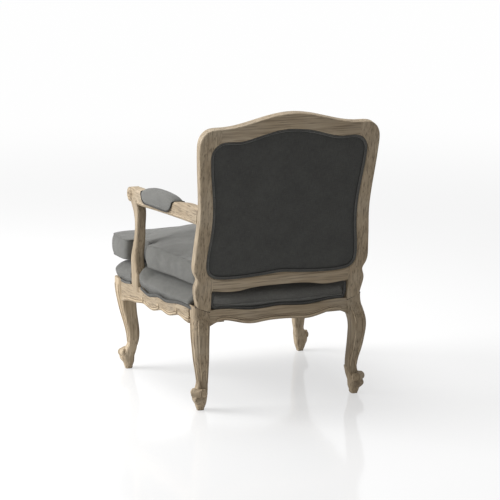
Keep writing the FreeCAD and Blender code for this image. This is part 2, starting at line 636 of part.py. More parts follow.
NOTCH_X = side_inner(ARM_POST_Y, -SIDE_BOW) - ARM_POST_WIDTH - NOTCH_ROOM
NOTCH_FRONT = ARM_POST_Y - ARM_POST_FRONT - NOTCH_ROOM
NOTCH_REAR = ARM_POST_Y + ARM_POST_REAR + NOTCH_ROOM
CUSHION_FRONT = FRONT_FACE - CUSHION_OVERHANG
CUSHION_REAR = REAR_FACE - CUSHION_REAR_GAP
CUSHION_WAIST_HALF = side_inner(NOTCH_REAR, CUSHION_SETBACK)


def cushion_wire(height, step):
    """Notched outline with its sides drawn in between the corners, moved in by a step."""
    front, rear = CUSHION_FRONT + step, CUSHION_REAR - step
    waist, tail = CUSHION_WAIST_HALF - step, CUSHION_REAR_HALF - step
    side_x, side_y = (waist + tail) / 2 - CUSHION_LEVEL, (NOTCH_REAR + rear) / 2
    ear = CUSHION_FRONT_HALF - step
    left = [(CUSHION_FRONT_HALF / 2, front - CUSHION_BOW, EASE / 3), (ear, front, CUSHION_CORNER),
            (ear - CUSHION_LEVEL, NOTCH_FRONT - step, CUSHION_CORNER / 2),
            (NOTCH_X - step, NOTCH_FRONT - step, NOTCH_CORNER),
            (NOTCH_X - step, NOTCH_REAR + step, NOTCH_CORNER), (waist, NOTCH_REAR + step, NOTCH_CORNER),
            (side_x, side_y, EASE), (tail, rear, CUSHION_CORNER),
            (CUSHION_REAR_HALF / 3, rear - CUSHION_LEVEL, EASE)]
    return rounded_polygon(mirrored_corners(left), height)


def cushion_form(skin):
    """Boxed cushion with a domed top: (part of the border's height, step inwards), less a skin all round."""
    border = ((0.0, 32), (0.05, 17), (0.11, 7), (0.21, 2), (0.4, 0), (0.64, 0), (0.83, 2), (0.94, 6),
              (1.0, 13))
    low, high = CUSHION_Z + skin, CUSHION_Z + CUSHION_EDGE - skin
    box = ruled_loft([cushion_wire(between(low, high, share), step + skin) for share, step in border])
    reach = CUSHION_FRONT_HALF * DOME_REACH
    radius = (reach ** 2 + CUSHION_CROWN ** 2) / (2 * CUSHION_CROWN)
    middle = Vector(0, (CUSHION_FRONT + CUSHION_REAR) / 2, CUSHION_Z + CUSHION_EDGE + CUSHION_CROWN - radius)
    column = Part.Face(cushion_wire(high - skin - 1, border[-1][1] + skin)).extrude(UP * (2 * CUSHION_CROWN))
    return largest(box.fuse(column.common(Part.makeSphere(radius - skin, middle))).removeSplitter())


def strip(start, end, width, thickness):
    """Flat webbing strap between two points of its lower face's middle line."""
    run = Vector(end - start).normalize()
    side = UP.cross(run) * (width / 2)
    return prism(polygon([start - side, end - side, end + side, start + side]), UP * thickness)


def seat_straps():
    """Straps along the seat on the front and rear ledges, then straps across them on the side ledges."""
    rear = REAR_FACE - RAIL_SETBACK - RAIL_THICKNESS + STRAP_SEAT
    room = side_inner(rear, RAIL_THICKNESS) - 1.5 * STRAP_WIDTH
    along = []
    for index in range(STRAPS_ALONG):
        x = between(-room, room, index / (STRAPS_ALONG - 1))
        front = FRONT_FACE + RAIL_SETBACK + RAIL_THICKNESS - STRAP_SEAT - front_bow(x)
        along.append(strip(Vector(x, front, LEDGE), Vector(x, rear, LEDGE), STRAP_WIDTH, STRAP_THICKNESS))
    across = []
    for index in range(STRAPS_ACROSS):
        y = between(FRONT_POST_Y + FRONT_POST + STRAP_WIDTH / 2, REAR_POST_Y - REAR_POST - STRAP_WIDTH / 2,
                    index / (STRAPS_ACROSS - 1))
        half = side_inner(y + STRAP_WIDTH / 2, RAIL_THICKNESS - STRAP_SEAT)
        start, end = Vector(-half, y, SIDE_LEDGE), Vector(half, y, SIDE_LEDGE)
        across.append(strip(start, end, STRAP_WIDTH, STRAP_THICKNESS))
    return along, across


def seat_outline(margin):
    """Plan of the space inside the seat frame, margin over the rails, with its corners off the legs."""
    corners = []
    for post_x, post_y, post, towards_y in ((FRONT_POST_X, FRONT_POST_Y, FRONT_POST, 1),
                                            (REAR_POST_X, REAR_POST_Y, REAR_POST, -1)):
        inner_x = post_x - post / 2 - 2 * CLEARANCE
        inner_y = post_y + towards_y * (post / 2 + 2 * CLEARANCE)
        edge = cross_inner(post_x, towards_y) - towards_y * margin
        notch = [(inner_x, edge), (inner_x, inner_y), (side_face(inner_y) + margin, inner_y)]
        corners += notch if towards_y > 0 else notch[::-1]
    return corners + [(-x, y) for x, y in reversed(corners)]


def seat_sheet(level, thickness, margin):
    return prism(polygon([Vector(x, y, level) for x, y in seat_outline(margin)]), UP * thickness)


def post_room(post_x, post_y, post, top):
    """Room of a leg's post and of the joints round it, which the deck keeps out of."""
    side = post + 4 * CLEARANCE
    return Part.makeBox(side, side, top, Vector(post_x - side / 2, post_y - side / 2, 0))


# Back upholstery, in the opening of the back frame

def back_dome(skin):
    """Padding that rises from its edge to its crown in front of the frame, less a skin all round."""
    base = BACK_THICKNESS - FRONT_REBATE + STRAP_THICKNESS + CLEARANCE + skin
    face, edge = BACK_THICKNESS, BACK_PAD_EDGE - skin
    step = WELT_WIDTH + CLEARANCE + skin
    rounding = [(base, step), (face, step), (face + 0.6 * edge, step + 1.5), (face + edge, step + 6)]
    slab = back_plate(SIGHT, rounding)
    reach = BACK_PAD_REACH * (CREST_TOP - LOWER_RAIL_TOP)
    rise = BACK_PAD_CROWN - BACK_PAD_EDGE
    radius = (reach ** 2 + rise ** 2) / (2 * rise)
    middle = back_point(0, LOWER_RAIL_TOP + reach, face + BACK_PAD_CROWN - radius)
    column = back_plate(SIGHT, [(face, step + 6), (face + 2 * BACK_PAD_CROWN, step + 6)])
    return largest(slab.fuse(column.common(Part.makeSphere(radius - skin, middle))).removeSplitter())


def welt_ring(low, high):
    """Cord-covered band round the upholstery, inside the sight edge, between two depths of the back."""
    soft = (high - low) / 3
    outer = back_plate(SIGHT, [(low, CLEARANCE + 1.5), (low + soft, CLEARANCE), (high, CLEARANCE)])
    inner = back_plate(SIGHT, [(low - 1, WELT_WIDTH), (high + 1, WELT_WIDTH)])
    return largest(outer.cut(inner))


def back_straps():
    """Level straps across the opening, tacked to the front of the ledge."""
    depth = BACK_THICKNESS - FRONT_REBATE
    sheet = back_plate(SIGHT, [(depth, 1), (depth + STRAP_THICKNESS, 1)])
    straps = []
    for index in range(BACK_STRAPS):
        z = between(LOWER_RAIL_TOP + STRAP_WIDTH, CREST_TOP - 3 * STRAP_WIDTH, index / (BACK_STRAPS - 1))
        slot = Part.makeBox(2 * SHOULDER_HALF, 2 * SEAT_DEPTH, STRAP_WIDTH, Vector(-SHOULDER_HALF, 0, z))
        straps.append(largest(sheet.common(slot)))
    return straps


# Joinery

def hole(middle, axis, diameter, length):
    return dowel(middle, axis, diameter + 2 * FIT, length + 2 * FIT)


def rail_dowels():
    """(middle, axis) of the dowels between the left legs and the rails."""
    levels = (RAIL_TOP - 29, RAIL_TOP - 17)
    lip = (RAIL_THICKNESS - RAIL_LEDGE) / 2
    run = (SIDE_END - SIDE_START).normalize()
    places = []
    for z in levels:
        places.append((Vector(FRONT_POST_X - FRONT_POST / 2, FRONT_FACE + RAIL_SETBACK + lip, z), ALONG_X))
        for y in (FRONT_POST_Y + FRONT_POST / 2, REAR_POST_Y - REAR_POST / 2):
            places.append((Vector(side_inner(y, lip), y, z), run))
    rear = Vector(REAR_POST_X - REAR_POST / 2, REAR_FACE - RAIL_SETBACK - lip, RAIL_TOP - 22)
    places.append((rear, ALONG_X))
    return places


def member_dowels():
    """(middle, axis) of the dowels between the left stile and the crest and lower rail."""
    heights = (SHOULDER - 34, SHOULDER - 13, LOWER_RAIL_TOP - 32, LOWER_RAIL_TOP - 14)
    depth = (REAR_REBATE + BACK_THICKNESS - FRONT_REBATE) / 2
    return [(back_point(MEMBER_JOINT, z, depth), ALONG_X) for z in heights]


def stile_dowels():
    """(middle, axis) of the dowels between the left rear leg and its stile."""
    places = []
    for shift in (-10, 11):
        z = BACK_SEAM + shift * math.tan(math.radians(SEAM_SLOPE))
        places.append((back_point(REAR_POST_X + shift, z, BACK_THICKNESS / 2), BACK_UP))
    return places


def arm_dowels():
    """(middle, axis) of the dowels at the foot and top of the left arm post, and at the arm's rear end."""
    lip = (RAIL_THICKNESS - RAIL_LEDGE) / 2
    foot = Vector(side_inner(ARM_POST_Y, lip - SIDE_BOW), ARM_POST_Y + 4, RAIL_TOP)
    top = Vector(between(ARM_FRONT_OUT, ARM_REAR_OUT, 0.1) - 17, ARM_POST_Y + 10, ARM_UNDER - 3)
    rear = back_point(ARM_REAR_OUT - 16, (ARM_UNDER + ARM_HEIGHT) / 2, BACK_THICKNESS)
    return [(foot, UP), (top, UP), (rear, BACK_INWARD)]


def block_plan(post_x, post_y, post, towards_y):
    """Five corners of a left corner block, its long face between the second and the third."""
    inner_x = post_x - post / 2 - CLEARANCE
    inner_y = post_y + towards_y * (post / 2 + CLEARANCE)
    far_x, far_y = inner_x - BLOCK_LEG, inner_y + towards_y * BLOCK_LEG
    return [(inner_x, cross_inner(inner_x, towards_y)), (far_x, cross_inner(far_x, towards_y)),
            (side_face(far_y), far_y), (side_face(inner_y), inner_y), (inner_x, inner_y)]


def corner_block(*post):
    """Block in a left corner of the seat frame, between the rails and round the leg."""
    level = BLOCK_TOP - BLOCK_HEIGHT
    return prism(polygon([Vector(x, y, level) for x, y in block_plan(*post)]), UP * BLOCK_HEIGHT)


def side_face(y):
    """X of the left side rail's inner face at y, with a clearance."""
    share = (y - SIDE_START.y) / (SIDE_END.y - SIDE_START.y)
    return side_inner(y, RAIL_THICKNESS + 2 * CLEARANCE) + SIDE_BOW * (1 - (2 * share - 1) ** 2)


def cross_inner(x, towards_y):
    """Y of the inner face of the front rail, or of the rear one, at x, with a clearance."""
    if towards_y > 0:
        return FRONT_FACE + RAIL_SETBACK + RAIL_THICKNESS + CLEARANCE - front_bow(x)
    return REAR_FACE - RAIL_SETBACK - RAIL_THICKNESS - CLEARANCE


def block_screw(*post):
    """Screw through the long face of a left corner block into the leg, with its head on that face."""
    towards_y = post[-1]
    level = BLOCK_TOP - BLOCK_HEIGHT / 2
    start, end = [Vector(x, y, level) for x, y in block_plan(*post)[1:3]]
    seat = (start + end) * 0.5
    along = (end - start).normalize()
    into = Vector(along.y, -along.x, 0) * towards_y
    shank = Part.makeCylinder(SCREW / 2, SCREW_LENGTH, seat, into)
    head = Part.makeCylinder(SCREW_HEAD / 2, SCREW_HEAD_HEIGHT, seat - into * SCREW_HEAD_HEIGHT, into)
    bore = Part.makeCylinder(SCREW / 2 + FIT, SCREW_LENGTH + FIT, seat, into)
    return shank.fuse(head).removeSplitter(), bore


# Assembly

SEAT_NEIGHBOURS = ("front_leg", "rear_leg", "front_seat", "rear_seat", "side_seat", "arm_post", "back_stile",
                   "back_lower")


def pair(name, shape):
    """A left piece and its mirror image."""
    return {name + "_left": shape, name + "_right": mirrored(shape)}


def on_both(shapes):
    return shapes + [mirrored(shape) for shape in shapes]


def moved_by_clearance(shape, directions):
    """Copies of a piece that has a curved face, which leave a clearance where they cut a neighbour."""
    return [shape.translated(direction * CLEARANCE) for direction in directions]


def wooden_frame():
    """Every wooden piece, seated against its neighbours and drilled, with the dowels and screws."""
    crest, lower, stile = back_members()
    hind_leg, arm = rear_leg(), armrest()
    rail_side = fitted(side_rail(), moved_by_clearance(hind_leg, [-ALONG_Y]))
    front, rear = (FRONT_POST_X, FRONT_POST_Y, FRONT_POST, 1), (REAR_POST_X, REAR_POST_Y, REAR_POST, -1)
    left = {"front_leg": front_leg(), "rear_leg": hind_leg, "back_stile": stile, "armrest": arm,
            "side_seat_rail": rail_side, "arm_post": fitted(arm_post(), [rail_side, arm]),
            "front_corner_block": corner_block(*front), "rear_corner_block": corner_block(*rear)}
    middle = {"crest_rail": crest, "back_lower_rail": lower, "front_seat_rail": front_rail(),
              "rear_seat_rail": fitted(rear_rail(), on_both([left["rear_leg"], stile]))}

    groups = {"rail_dowels": (rail_dowels(), DOWEL), "back_member_dowels": (member_dowels(), BACK_DOWEL),
              "stile_dowels": (stile_dowels(), BACK_DOWEL), "arm_dowels": (arm_dowels(), DOWEL)}
    pins, bores = {}, []
    for name, (places, diameter) in groups.items():
        length = DOWEL_LENGTH * diameter / DOWEL
        pins[name] = on_both([dowel(point, axis, diameter, length) for point, axis in places])
        bores += [hole(point, axis, diameter, length) for point, axis in places]
    screws = [block_screw(*front), block_screw(*rear)]
    pins["corner_block_screws"] = on_both([screw for screw, _ in screws])
    bores += [bore for _, bore in screws]

    pieces = {name: drilled(shape, on_both(bores)) for name, shape in middle.items()}
    for name, shape in left.items():
        pieces.update(pair(name, drilled(shape, bores)))
    return pieces, {name: Part.makeCompound(solids) for name, solids in pins.items()}


def seat_upholstery(wood):
    """Webbing, padding and covers of the seat, and the loose cushion."""
    along, across = seat_straps()
    sheet = seat_sheet(DECK_FLOOR, DECK_TOP - COVER - CLEARANCE - DECK_FLOOR, -PADDING_INSET)
    padding = fitted(sheet, on_both(moved_by_clearance(wood["rear_leg_left"], [-ALONG_X, -ALONG_Y])))
    hollow = seat_sheet(DECK_FLOOR - 1, DECK_TOP - COVER - DECK_FLOOR + 1, CLEARANCE - PADDING_INSET)
    around = on_both([post_room(FRONT_POST_X, FRONT_POST_Y, FRONT_POST, RAIL_TOP),
                      post_room(REAR_POST_X, REAR_POST_Y, REAR_POST, BACK_SEAM)])
    around += [wood[name] for name in wood if name.startswith(SEAT_NEIGHBOURS)]
    return {"seat_straps_along": Part.makeCompound(along), "seat_straps_across": Part.makeCompound(across),
            "seat_hessian": seat_sheet(HESSIAN_Z, HESSIAN, STRAP_SEAT),
            "dust_cover": seat_sheet(LEDGE - DUST_COVER_DROP, DUST_COVER, -CLEARANCE),
            "seat_deck_padding": padding, "seat_deck_cover": fitted(deck_form().cut(hollow), around),
            "cushion_cover": envelope(cushion_form(0), cushion_form(COVER)),
            "cushion_filling": cushion_form(COVER + CLEARANCE)}


def back_upholstery():
    """Outside back from behind, then webbing, padding and cover of the inside back."""
    step = WELT_WIDTH + CLEARANCE
    depths = [(REAR_REBATE - PANEL_THICKNESS, step), (REAR_REBATE, step)]
    return {"outside_back_panel": back_plate(SIGHT, depths),
            "outside_back_welt": welt_ring(REAR_REBATE - WELT_HEIGHT, REAR_REBATE),
            "back_straps": Part.makeCompound(back_straps()),
            "inside_back_welt": welt_ring(BACK_THICKNESS - WELT_HEIGHT + 1, BACK_THICKNESS + 1),
            "inside_back_cover": envelope(back_dome(0), back_dome(COVER)),
            "inside_back_padding": back_dome(COVER + CLEARANCE)}


def arm_upholstery(arm):
    """Padding and cover of the left arm pad."""
    outer = arm_pad(0)
    return {"arm_pad_cover": fitted(outer, [arm, arm_pad(COVER)]),
            "arm_pad_padding": fitted(arm_pad(COVER + CLEARANCE), [arm])}


def main():
    """Build every piece, stand the origin under the middle of the whole and write one file each."""
    wood, fasteners = wooden_frame()
    parts = dict(wood)
    parts.update(fasteners)
    parts.update(seat_upholstery(wood))
    parts.update(back_upholstery())
    for name, shape in arm_upholstery(wood["armrest_left"]).items():
        parts.update(pair(name, shape))
    ends = parts["crest_rail"].optimalBoundingBox().YMax, parts["cushion_cover"].optimalBoundingBox().YMin
    shift = Vector(0, -sum(ends) / 2, 0)
    os.makedirs("parts", exist_ok=True)
    for name, shape in parts.items():
        placed = shape.translated(shift)
        placed.exportStep("parts/" + name + ".step")
    print("pieces", len(parts), "depth", round(ends[0] - ends[1], 1))
    print("origin moved along y by", round(shift.y, 2))


main()
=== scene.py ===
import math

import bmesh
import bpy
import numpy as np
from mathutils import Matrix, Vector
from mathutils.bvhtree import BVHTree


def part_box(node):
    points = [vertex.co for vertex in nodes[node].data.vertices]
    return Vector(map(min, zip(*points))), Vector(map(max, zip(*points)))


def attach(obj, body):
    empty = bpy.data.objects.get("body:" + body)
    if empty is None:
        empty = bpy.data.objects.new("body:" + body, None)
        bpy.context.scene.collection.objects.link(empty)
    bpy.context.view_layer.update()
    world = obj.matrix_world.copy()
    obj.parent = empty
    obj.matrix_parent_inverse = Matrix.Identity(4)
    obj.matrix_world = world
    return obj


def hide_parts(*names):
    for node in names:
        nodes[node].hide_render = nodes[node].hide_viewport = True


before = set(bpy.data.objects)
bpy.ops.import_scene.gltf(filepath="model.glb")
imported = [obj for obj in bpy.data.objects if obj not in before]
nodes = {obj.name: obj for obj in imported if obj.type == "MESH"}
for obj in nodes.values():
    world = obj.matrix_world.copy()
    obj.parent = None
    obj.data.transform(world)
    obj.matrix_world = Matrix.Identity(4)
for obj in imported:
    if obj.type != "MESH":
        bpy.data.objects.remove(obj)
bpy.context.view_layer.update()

# %% [markdown]
# # Dressing an open armchair
# The object is an armchair with a carved oak frame and a loose seat cushion. The packed part gives the
# wood as it is, so the frame only needs its finish and its carving. Everything soft is made here: the
# cushion, the padded deck, both faces of the back, the arm pads and their welts. Lengths below are
# millimetres in the part's own drawing, and become metres when a mesh is made.

# %% [markdown]
# The part's drawing has its zero between the legs, and the packed part has it under the middle of its
# box. The shift between them could be typed in, but it would be wrong as soon as the part changed. So the
# front seat rail's own box tells how far the one was moved against the other.

# %% Millimetres of the drawing and metres of the part
MM = 0.001
FRONT_FACE, RAIL_SETBACK, FRONT_BOW = -307.0, 3.0, 14.0
SHIFT = np.array([0.0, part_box("front_seat_rail")[0][1] / MM - (FRONT_FACE + RAIL_SETBACK - FRONT_BOW), 0.0])


def to_part(points):
    """Metres of the part: a thousandth of the drawing's place plus the shift."""
    return (points + SHIFT) * MM


def to_drawing(points):
    """Millimetres of the drawing: a thousand times the part's place, less the shift."""
    return points / MM - SHIFT


print("drawing moved by", SHIFT.round(2), "mm")

# %% [markdown]
# Scallops, seams and outlines are drawn on the real chair along a thin batten, bent through a few marks.
# A Bezier curve would need two handles for every mark. A cubic spline needs only the marks: its bend
# changes evenly between them and doesn't jump at them, as a batten's does.

# %% Smooth curves
def smooth_curve(points, count, closed=False):
    """Cubic spline: each coordinate is a cubic of the chord length between knots, with a continuous bend."""
    knots = np.asarray(points, float)
    if closed:
        knots = np.vstack([knots, knots[:1]])
    chord = np.linalg.norm(np.diff(knots, axis=0), axis=1)
    length = np.concatenate([[0.0], np.cumsum(chord)])
    spans = len(chord)
    slope = np.diff(knots, axis=0) / chord[:, None]
    if closed:
        index = np.arange(spans)
        matrix = np.zeros((spans, spans))
        np.add.at(matrix, (index, index - 1), chord[index - 1])
        np.add.at(matrix, (index, index), 2 * (chord[index - 1] + chord))
        np.add.at(matrix, (index, (index + 1) % spans), chord)
        bend = np.linalg.solve(matrix, 6 * (slope - np.roll(slope, 1, axis=0)))
        bend = np.vstack([bend, bend[:1]])
    else:
        matrix = np.eye(spans + 1)
        inner = np.arange(1, spans)
        matrix[inner, inner - 1] = chord[:-1]
        matrix[inner, inner] = 2 * (chord[:-1] + chord[1:])
        matrix[inner, inner + 1] = chord[1:]
        target = np.zeros_like(knots)
        target[1:-1] = 6 * np.diff(slope, axis=0)
        bend = np.linalg.solve(matrix, target)
    at = np.linspace(0.0, length[-1], count, endpoint=not closed)
    span = np.clip(np.searchsorted(length, at, side="right") - 1, 0, spans - 1)
    low = ((length[span + 1] - at) / chord[span])[:, None]
    high = 1 - low
    cubic = (low ** 3 - low) * bend[span] + (high ** 3 - high) * bend[span + 1]
    return low * knots[span] + high * knots[span + 1] + cubic * (chord[span] ** 2)[:, None] / 6


batten = smooth_curve([(0, 0), (1, 1), (2, 0)], 5)
print("a batten through three marks passes", batten.round(2).tolist())

# %% [markdown]
# Each new surface is a grid of points: one number counts along it and the other across it. It could be
# modelled by hand, but a grid worked out as one array is exact, and thousands of points take a blink. A
# welt, a cord or a carved bead is a profile carried along a path, and that gives such a grid too.

# %% Grids and sweeps
def grid_quads(rows, columns, wrap_rows, wrap_columns):
    """Corner numbers (i, j), (i+1, j), (i+1, j+1), (i, j+1) of each quad of a grid of points."""
    counts = np.arange(rows - (not wrap_rows)), np.arange(columns - (not wrap_columns))
    i, j = np.meshgrid(*counts, indexing="ij")
    after_i, after_j = (i + 1) % rows, (j + 1) % columns
    corners = (i, j), (after_i, j), (after_i, after_j), (i, after_j)
    return np.stack([a * columns + b for a, b in corners], axis=-1).reshape(-1, 4)


def unit(vectors):
    """Each vector divided by its length."""
    return vectors / np.linalg.norm(vectors, axis=-1, keepdims=True)


def along(path, closed=False):
    """Unit tangents: the difference of the neighbours of each point."""
    if closed:
        return unit(np.roll(path, -1, axis=0) - np.roll(path, 1, axis=0))
    return unit(np.gradient(path, axis=0))


def sweep(path, lift, profile, closed=False, taper=None):
    """Point (i, j) is path[i] + a[j] side[i] + b[j] lift[i], with side square to the path and to lift."""
    lift = np.broadcast_to(np.asarray(lift, float), path.shape)
    tangent = along(path, closed)
    side = unit(np.cross(lift, tangent))
    lift = np.cross(tangent, side)
    scale = np.ones(len(path)) if taper is None else taper
    spread = profile[None] * scale[:, None, None]
    return path[:, None] + spread[..., :1] * side[:, None] + spread[..., 1:] * lift[:, None]


print("a strip of 2 by 3 points has", len(grid_quads(2, 3, False, False)), "quads")

# %% [markdown]
# A carved bead doesn't stop like a sawn pipe. It thins out into the wood, and its end is closed. An end
# piece could be made and joined on. Here the profile shrinks by a quarter circle at both ends instead,
# and a last row that is drawn together to one point closes the tube.

# %% Ends and round profiles
def capped(grid):
    """The same tube with a row at each end that is drawn together to the end's middle."""
    ends = [np.broadcast_to(grid[row].mean(axis=0), grid[row].shape) for row in (0, -1)]
    return np.concatenate([ends[0][None], grid, ends[1][None]])


def lifted(plan, height):
    """Plan points (x, y) with a height each as (x, y, z)."""
    return np.concatenate([plan, np.asarray(height)[:, None]], axis=1)


def round_taper(count, share=0.12, low=0.15):
    """1 along the middle and a quarter circle down to low at both ends."""
    at = np.linspace(0.0, 1.0, count)
    near = np.clip(np.minimum(at, 1 - at) / share, 0.0, 1.0)
    return low + (1 - low) * np.sqrt(1 - (1 - near) ** 2)


def circle(width, height, count):
    """Ellipse (cosine, sine) of the given width and height."""
    turn = np.linspace(0.0, 2 * math.pi, count, endpoint=False)
    return np.stack([np.cos(turn) * width / 2, np.sin(turn) * height / 2], axis=1)


print("a tapered end is", round_taper(50)[0].round(2), "of the full profile")

# %% [markdown]
# Blender keeps a shape as a mesh: points, and faces that name their corners. They could be added one by
# one, which is slow, so from_pydata takes whole lists. Points that fall together at a pole or a seam are
# merged, and all faces are turned outwards, so that each piece is one closed skin.

# %% Meshes
MERGE_DISTANCE = 2e-6


def mesh_object(name, points, faces):
    """Points in the drawing's millimetres become a smooth, welded mesh in the part's metres."""
    mesh = bpy.data.meshes.new(name)
    mesh.from_pydata(to_part(points).tolist(), [], faces.tolist())
    shell = bmesh.new()
    shell.from_mesh(mesh)
    bmesh.ops.remove_doubles(shell, verts=shell.verts, dist=MERGE_DISTANCE)
    bmesh.ops.recalc_face_normals(shell, faces=shell.faces)
    shell.to_mesh(mesh)
    shell.free()
    mesh.shade_smooth()
    made = bpy.data.objects.new(name, mesh)
    bpy.context.scene.collection.objects.link(made)
    return made


def joined(name, grids, wrap_rows=False, wrap_columns=True):
    """Several grids as one mesh: each grid's corner numbers start where the last grid's ended."""
    points, faces, first = [], [], 0
    for grid in grids:
        rows, columns = grid.shape[:2]
        points.append(grid.reshape(-1, 3))
        faces.append(grid_quads(rows, columns, wrap_rows, wrap_columns) + first)
        first += rows * columns
    return mesh_object(name, np.concatenate(points), np.concatenate(faces))


def surface(name, grid, wrap_rows=False, wrap_columns=True):
    """One grid as a mesh."""
    return joined(name, [grid], wrap_rows, wrap_columns)


def mirror_x(grid):
    """The same surface on the sitter's right, its columns turned round so that it still faces outwards."""
    return (grid * np.array([-1.0, 1.0, 1.0]))[:, ::-1]


def on_both_sides(grids):
    """The grids of the sitter's left, and their mirror images."""
    return grids + [mirror_x(grid) for grid in grids]


print("points nearer than", MERGE_DISTANCE, "m are merged")

# %% [markdown]
# A finished piece needs its finish, the body of the part that it moves with, and the plain nodes that it
# stands for. Cloth also needs a flat map for its weave. Unwrapping by seams would scale each piece in its own
# way. So each face takes its own place in metres, seen along the axis that it faces most, and the threads are
# the same size on every piece.

# %% Dressing a piece
ACROSS_THE_FACE = np.array([[1, 2], [0, 2], [0, 1]])


def read(items, field, width=3, kind=np.float64):
    """A row of numbers for each item of a Blender list, or one number each where the width is 1."""
    flat = np.empty(len(items) * width, kind)
    items.foreach_get(field, flat)
    return flat.reshape(-1, width) if width > 1 else flat


def weave_map(piece):
    """UV map in metres: each face takes the two coordinates across the axis that it faces most."""
    mesh = piece.data
    corner = read(mesh.loops, "vertex_index", 1, np.int32)
    points = read(mesh.vertices, "co")
    facing = np.abs(read(mesh.polygons, "normal")).argmax(axis=1)
    facing = np.repeat(facing, read(mesh.polygons, "loop_total", 1, np.int32))
    flat = points[corner[:, None], ACROSS_THE_FACE[facing]]
    layer = mesh.uv_layers.new(name="weave")
    layer.data.foreach_set("uv", flat.astype(np.float32).ravel())


def dress(piece, material, body="frame", replaced=()):
    """Finish, weave map, body and the nodes that the piece stands for, which are hidden."""
    piece.data.materials.clear()
    piece.data.materials.append(material)
    weave_map(piece)
    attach(piece, body)
    if replaced:
        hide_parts(*replaced)
    print(piece.name, len(piece.data.polygons), "faces")


print("a face along x, y or z takes the coordinates", ACROSS_THE_FACE.tolist())

# %% [markdown]
# A finish is a sum of fields over the surface: bands, pores, threads, slubs. Each sum could be a row of
# node calls, but Python's own operators read better. So one small class wraps a socket, and an expression
# on it adds the Math nodes. Every other node comes from its one method.

# %% Fields of a finish
class Field:
    """A value over the surface. Operators add Math nodes, and make adds any other node."""

    def __init__(self, socket):
        self.socket = socket

    def make(self, kind, settings=None, inputs=None, output=0):
        """Adds a node: its settings come first, then the values or links of its sockets."""
        tree = self.socket.id_data
        node = tree.nodes.new(kind)
        for name, value in (settings or {}).items():
            setattr(node, name, value)
        for key, value in (inputs or {}).items():
            if isinstance(value, Field):
                tree.links.new(value.socket, node.inputs[key])
            else:
                node.inputs[key].default_value = value
        return Field(node.outputs[output])

    def math(self, operation, *values):
        """A Math node on numbers or fields."""
        return self.make("ShaderNodeMath", {"operation": operation}, dict(enumerate(values)))

    def __add__(self, other):
        return self.math("ADD", self, other)

    def __sub__(self, other):
        return self.math("SUBTRACT", self, other)

    def __rsub__(self, other):
        return self.math("SUBTRACT", other, self)

    def __mul__(self, other):
        return self.math("MULTIPLY", self, other)

    def __truediv__(self, other):
        return self.math("DIVIDE", self, other)

    def __rtruediv__(self, other):
        return self.math("DIVIDE", other, self)

    def __pow__(self, other):
        return self.math("POWER", self, other)

    def __rpow__(self, other):
        return self.math("POWER", other, self)

    __radd__, __rmul__ = __add__, __mul__

    def step(self, low, high):
        """0 below low, 1 above high and a smooth rise between."""
        return self.make("ShaderNodeMapRange", {"interpolation_type": "SMOOTHSTEP"},
                         {"Value": self, "From Min": low, "From Max": high})

    def tint(self, low, high):
        """Colour low where the field is 0, colour high where it is 1, and a mix between."""
        return self.make("ShaderNodeMix", {"data_type": "RGBA"}, {0: self, 6: low, 7: high}, output=2)

    def noise(self, scale, detail=3.0, roughness=0.5, distortion=0.0):
        """Noise read at this vector field."""
        return self.make("ShaderNodeTexNoise", None, {"Vector": self, "Scale": scale, "Detail": detail,
                                                      "Roughness": roughness, "Distortion": distortion})

    def scaled(self, x, y, z):
        """A vector field with each coordinate multiplied by its own number."""
        return self.make("ShaderNodeMapping", None, {"Vector": self, "Scale": (x, y, z)})

    def parts(self):
        """The three numbers of a vector field."""
        return [self.make("ShaderNodeSeparateXYZ", None, {0: self}, output=axis) for axis in range(3)]

    def bump(self, strength, distance):
        """Normals tilted by the slope of this height."""
        return self.make("ShaderNodeBump", None,
                         {"Strength": strength, "Distance": distance, "Height": self})


print("a field has the methods", [name for name in vars(Field) if not name.startswith("_")])

# %% [markdown]
# Each material starts as Blender's one general shader, which can be wood, cloth or metal by its sockets.
# Fields are linked to the sockets that change over the surface, and the others get a plain value.
# Textures read Object coordinates, because a solid pattern runs through the wood as its grain does, and
# the weave reads the flat map.

# %% A new finish
def new_finish(name, **values):
    """A material, its main shader node, its object coordinates and its flat map; _ stands for a space."""
    material = bpy.data.materials.new(name)
    material.use_nodes = True
    shader = material.node_tree.nodes["Principled BSDF"]
    for socket, value in values.items():
        shader.inputs[socket.replace("_", " ")].default_value = value
    coordinates = material.node_tree.nodes.new("ShaderNodeTexCoord")
    return material, shader, Field(coordinates.outputs["Object"]), Field(coordinates.outputs["UV"])


def connect(shader, **fields):
    """Links fields to the shader's sockets by name, with _ for a space."""
    for name, field in fields.items():
        shader.id_data.links.new(field.socket, shader.inputs[name.replace("_", " ")])


# %% [markdown]
# The frame is limed oak: tan wood with open pores along the grain, and a chalky bloom left on it in
# patches. A photographed texture would repeat and would have to be unwrapped. Noise in space has neither
# trouble. Bands are slow noise stretched along the grain, and pores and streaks are fast noise stretched
# even more.

# %% Limed oak
DARK_BAND, PALE_BAND = (0.265, 0.202, 0.128), (0.375, 0.300, 0.206)
STREAK, BLOOM, PORE = (0.135, 0.099, 0.061), (0.39, 0.345, 0.275), (0.11, 0.081, 0.052)
BAND_STRETCH, PORE_STRETCH = 0.07, 0.03


